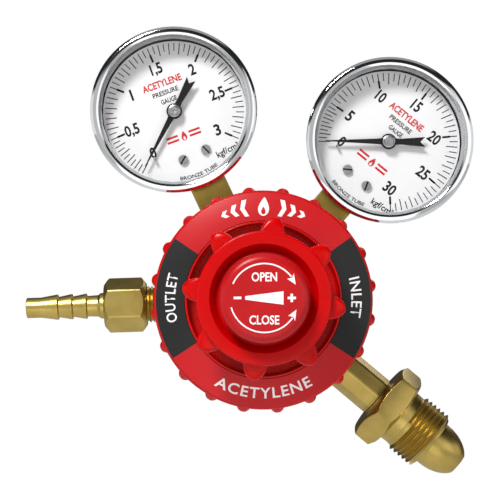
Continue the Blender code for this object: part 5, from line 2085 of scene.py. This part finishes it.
    @staticmethod
    def label_width(label: str) -> float:
        """Length of a printed number.

        Args:
            label: The number as it is printed.

        Returns:
            Its length, a lone 1 being narrow.
        """
        if label == "1":
            return 0.78
        widths = {",": 0.9, "1": 1.2}
        return max(sum(widths.get(sign, 2.15) for sign in label), 2.15)

    def words(self) -> bpy.types.Mesh:
        """The red print: the gas, and a plain sign of two bars and a drop.

        Returns:
            Its mesh.
        """
        parts = [self.said("ACETYLENE", 2.6, 14.4, 0.03, -0.7, 11.1)]
        sign = [flame(3.4)]
        for side in (-1.0, 1.0):
            for lift in (-1.1, 0.4):
                low, high = sorted((side * 2.0, side * 6.2))
                sign.append(plate([[(low, lift), (high, lift), (high, lift + 0.75),
                                    (low, lift + 0.75)]], INK))
        spot = Matrix.Rotation(math.radians(self.text_turn), 4, "Z") @ Vector((0.1, -9.0, 0.0))
        parts.append(moved(merged(sign), spot.x, spot.y, self.dial_front, self.text_turn))
        return merged(parts)

    def screw(self, side: float, turn: float) -> bpy.types.Mesh:
        """A cheese-head screw: a disc and shank painted dark as the shade in its slot, and the two
        halves beside the slot.

        Args:
            side: 1 or -1, the side of the dial's middle that it stands on.
            turn: Angle of its slot.

        Returns:
            Its mesh, with its finishes.
        """
        foot = shell([
            (0.0, self.screw_foot), (1.7, self.screw_foot), (1.7, 24.9, 0.1), (0.8, 24.9),
            (0.8, 22.5), (0.0, 22.5),
        ], 48)
        # the disc under the slot is painted dark, as the shade inside the slot
        foot.materials.append(self.shop.material(Look.PAINTED_SLOT_SHADE))
        lean = self.slot_lean
        angles = [lean + (180.0 - 2.0 * lean) * i / 16 for i in range(17)]
        tiers = ((1.7, self.screw_foot, self.screw_step),
                 (1.5, self.screw_foot + self.screw_step, self.screw_crown))
        halves = []
        for way in (1.0, -1.0):
            for radius, lift, height in tiers:
                outline = [polar(radius, angle) for angle in angles]
                half = plate([[(way * x, way * y) for x, y in outline]], height)
                half.materials.append(self.shop.material(Look.STEEL))
                halves.append(moved(half, 0.0, 0.0, lift))
        return moved(merged([foot, *halves]), side * self.screw_x, self.screw_y, 0.0, turn)

    def peg(self) -> bpy.types.Mesh:
        """The stop peg with a rounded top."""
        mesh = shell([(0.0, 27.3), (0.5, 27.3, 0.25), (0.5, 23.0), (0.0, 23.0)], 24)
        return moved(mesh, *polar(self.dial - 7.2, self.zero + self.pin_lead), 0.0)

    def blade(self) -> bpy.types.Mesh:
        """The pointer: a fine blade, a round hub and a notched tail.

        Returns:
            Its mesh.
        """
        def arc(start: float, end: float) -> list[tuple[float, float]]:
            """Points along the hub's edge between two angles."""
            return [polar(self.hub, start + (end - start) * i / 14) for i in range(15)]

        outline = [(self.blade_length, -0.14), (self.blade_length, 0.14), (4.0, 0.95)]
        outline += arc(24.0, 156.0)
        outline += [(-4.2, 1.0), (-12.8, 1.7), (-11.1, 0.0), (-12.8, -1.7), (-4.2, -1.0)]
        outline += arc(204.0, 336.0) + [(4.0, -0.95)]
        hole = [polar(1.0, -24.0 * i) for i in range(15)]
        return moved(plate([outline, hole], 0.5), 0.0, 0.0, self.blade_depth, self.zero)

    def button(self) -> bpy.types.Mesh:
        """The cap over the arbor, dished and centre-marked.

        Returns:
            Its mesh.
        """
        return shell([
            (0.0, 28.2), (0.35, 28.2, 0.05), (0.45, 28.5, 0.05), (1.45, 28.6, 0.15),
            (1.75, 28.0, 0.1), (2.2, 27.9, 0.2), (2.2, 27.4), (1.0, 27.4), (1.0, 28.0), (0.0, 28.0),
        ], 64)


# ---------------------------------------------------------------- studio

@dataclass
class Studio:
    """The camera, soft lights, a pale floor and the room that metal mirrors.

    Attributes:
        cards: Bands of the room: axis, where each starts and is full, and its level.
        lamps: Each lamp's name, place in metres, size in metres and power in watts.
    """

    camera_from: tuple[float, float, float] = (-73.516, -578.47, 50.75)
    tilt: float = 2.5
    lens: float = 116.8
    floor_drop: float = 650.0
    floor_size: float = 9000.0
    floor_shade: float = 0.7
    floor_glow: float = 0.36
    room_level: float = 0.62
    aim: tuple[float, float, float] = (-0.07, 0.0, 0.06)
    cards: tuple[tuple[str, float, float, float], ...] = (
        ("X", -0.55, -0.75, 0.95), ("X", 0.62, 0.8, 0.9), ("Z", 0.26, 0.38, 0.02),
        ("Z", -0.3, -0.45, 0.35), ("Y", 0.12, 0.4, 0.07), ("Z", 0.8, 0.92, 0.4),
    )
    lamps: tuple[tuple[str, tuple[float, float, float], float, float], ...] = (
        ("key", (-0.5, -0.85, 0.95), 0.32, 16.5), ("fill", (0.75, -0.95, 0.25), 0.8, 1.5),
        ("low_fill", (-0.15, -1.1, -0.5), 0.9, 2.5), ("rim", (0.35, 0.85, 0.75), 0.6, 2.0),
    )

    def build(self) -> None:
        """Sets everything up."""
        self.camera()
        self.floor()
        self.lights()
        self.room()
        bpy.context.scene.view_settings.view_transform = "Standard"

    def camera(self) -> None:
        """The camera, square on and a little below the middle."""
        data = bpy.data.cameras.new("camera")
        data.lens = self.lens
        data.sensor_width = 36.0
        data.clip_start, data.clip_end = 0.01, 50.0
        camera = bpy.data.objects.new("camera", data)
        camera.location = Vector(self.camera_from) * MM
        camera.rotation_euler = (math.radians(90.0 + self.tilt), 0.0, 0.0)
        bpy.context.scene.collection.objects.link(camera)
        bpy.context.scene.camera = camera

    def floor(self) -> None:
        """A wide pale floor some way below the regulator."""
        low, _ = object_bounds()
        height = low.z - self.floor_drop * MM
        half = self.floor_size * MM / 2.0
        mesh = bpy.data.meshes.new("floor")
        mesh.from_pydata([(-half, -half, height), (half, -half, height), (half, half, height),
                          (-half, half, height)], [], [(0, 1, 2, 3)])
        material = bpy.data.materials.new("pale_floor")
        material.use_nodes = True
        shader = material.node_tree.nodes["Principled BSDF"]
        shader.inputs["Base Color"].default_value = (*[self.floor_shade] * 3, 1.0)
        shader.inputs["Roughness"].default_value = 0.9
        shader.inputs["Emission Color"].default_value = (1.0, 1.0, 1.0, 1.0)
        shader.inputs["Emission Strength"].default_value = self.floor_glow
        mesh.materials.append(material)
        floor = bpy.data.objects.new("floor", mesh)
        bpy.context.scene.collection.objects.link(floor)
        floor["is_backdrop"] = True

    def lights(self) -> None:
        """A key from the upper left, broad fills from the right and below, and a rim light."""
        aim = Vector(self.aim)
        for name, place, size, power in self.lamps:
            data = bpy.data.lights.new(name, "AREA")
            data.size = size
            data.energy = power
            lamp = bpy.data.objects.new(name, data)
            lamp.location = Vector(place)
            lamp.rotation_euler = (aim - lamp.location).to_track_quat("-Z", "Y").to_euler()
            bpy.context.scene.collection.objects.link(lamp)

    def room(self) -> None:
        """A white surround with dark bands overhead and below, which chrome mirrors."""
        world = bpy.data.worlds.new("room")
        world.use_nodes = True
        bpy.context.scene.world = world
        tree = world.node_tree
        tree.nodes.clear()
        place = add_node(tree, "ShaderNodeTexCoord").outputs["Generated"]
        parts = add_node(tree, "ShaderNodeSeparateXYZ", {"Vector": place})
        level: bpy.types.NodeSocket | float = self.room_level
        for axis, start, end, value in self.cards:
            step = add_node(tree, "ShaderNodeMapRange", {
                "Value": parts.outputs[axis], "From Min": start, "From Max": end,
            }, interpolation_type="SMOOTHSTEP")
            level = add_node(tree, "ShaderNodeMix", {
                0: step.outputs["Result"], 2: level, 3: value,
            }, data_type="FLOAT").outputs[0]
        seen = add_node(tree, "ShaderNodeLightPath").outputs["Is Camera Ray"]
        strength = add_node(tree, "ShaderNodeMix", {0: seen, 2: level, 3: 1.0},
                            data_type="FLOAT").outputs[0]
        glow = add_node(tree, "ShaderNodeBackground", {
            "Color": (1.0, 1.0, 1.0, 1.0), "Strength": strength,
        })
        add_node(tree, "ShaderNodeOutputWorld", {"Surface": glow.outputs["Background"]})


# ---------------------------------------------------------------- the regulator

HIDDEN_LOOKS: dict[str, Look] = {
    "seat_nozzle": Look.STEM, "valve_spring": Look.STEEL, "diaphragm": Look.RUBBER,
    "slip_ring": Look.STEEL, "main_spring": Look.STEEL, "inlet_filter": Look.BRONZE,
    "spring_button": Look.STEEL, "spring_plate": Look.STEEL, "pusher_plate": Look.STEM,
    "valve_poppet": Look.STEEL, "knob_nut": Look.STEEL, "adjusting_screw": Look.STEEL,
    "window_gasket": Look.RUBBER, "movement_frame": Look.STEM, "bourdon_tube": Look.BRONZE,
    "sector": Look.STEM, "link": Look.STEM, "arbor": Look.STEEL,
}


def main() -> None:
    """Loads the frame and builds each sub-assembly."""
    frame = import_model()
    shop = Workshop(frame)
    gauges = (
        Gauge(shop, "outlet_gauge", ("0", "0,5", "1", "1,5", "2", "2,5", "3"), 38.5, 45.3,
              73.1, text_turn=-4.6),
        Gauge(shop, "inlet_gauge", ("0", "5", "10", "15", "20", "25", "30"), 34.0, 46.7, 70.8,
              text_turn=1.7),
    )
    ports = [shop.port("inlet_seat"), shop.port("hose_end")]
    ports += [gauge.port() for gauge in gauges]
    Body(shop, ports=ports).build()
    Bonnet(shop).build()
    Knob(shop).build()
    Inlet(shop).build()
    Outlet(shop).build()
    for gauge in gauges:
        gauge.build()
    shop.paint(HIDDEN_LOOKS)
    shop.soften()
    Studio().build()


if __name__ == "__main__":
    logging.basicConfig(level=logging.INFO, format="%(name)s: %(message)s")
    main()
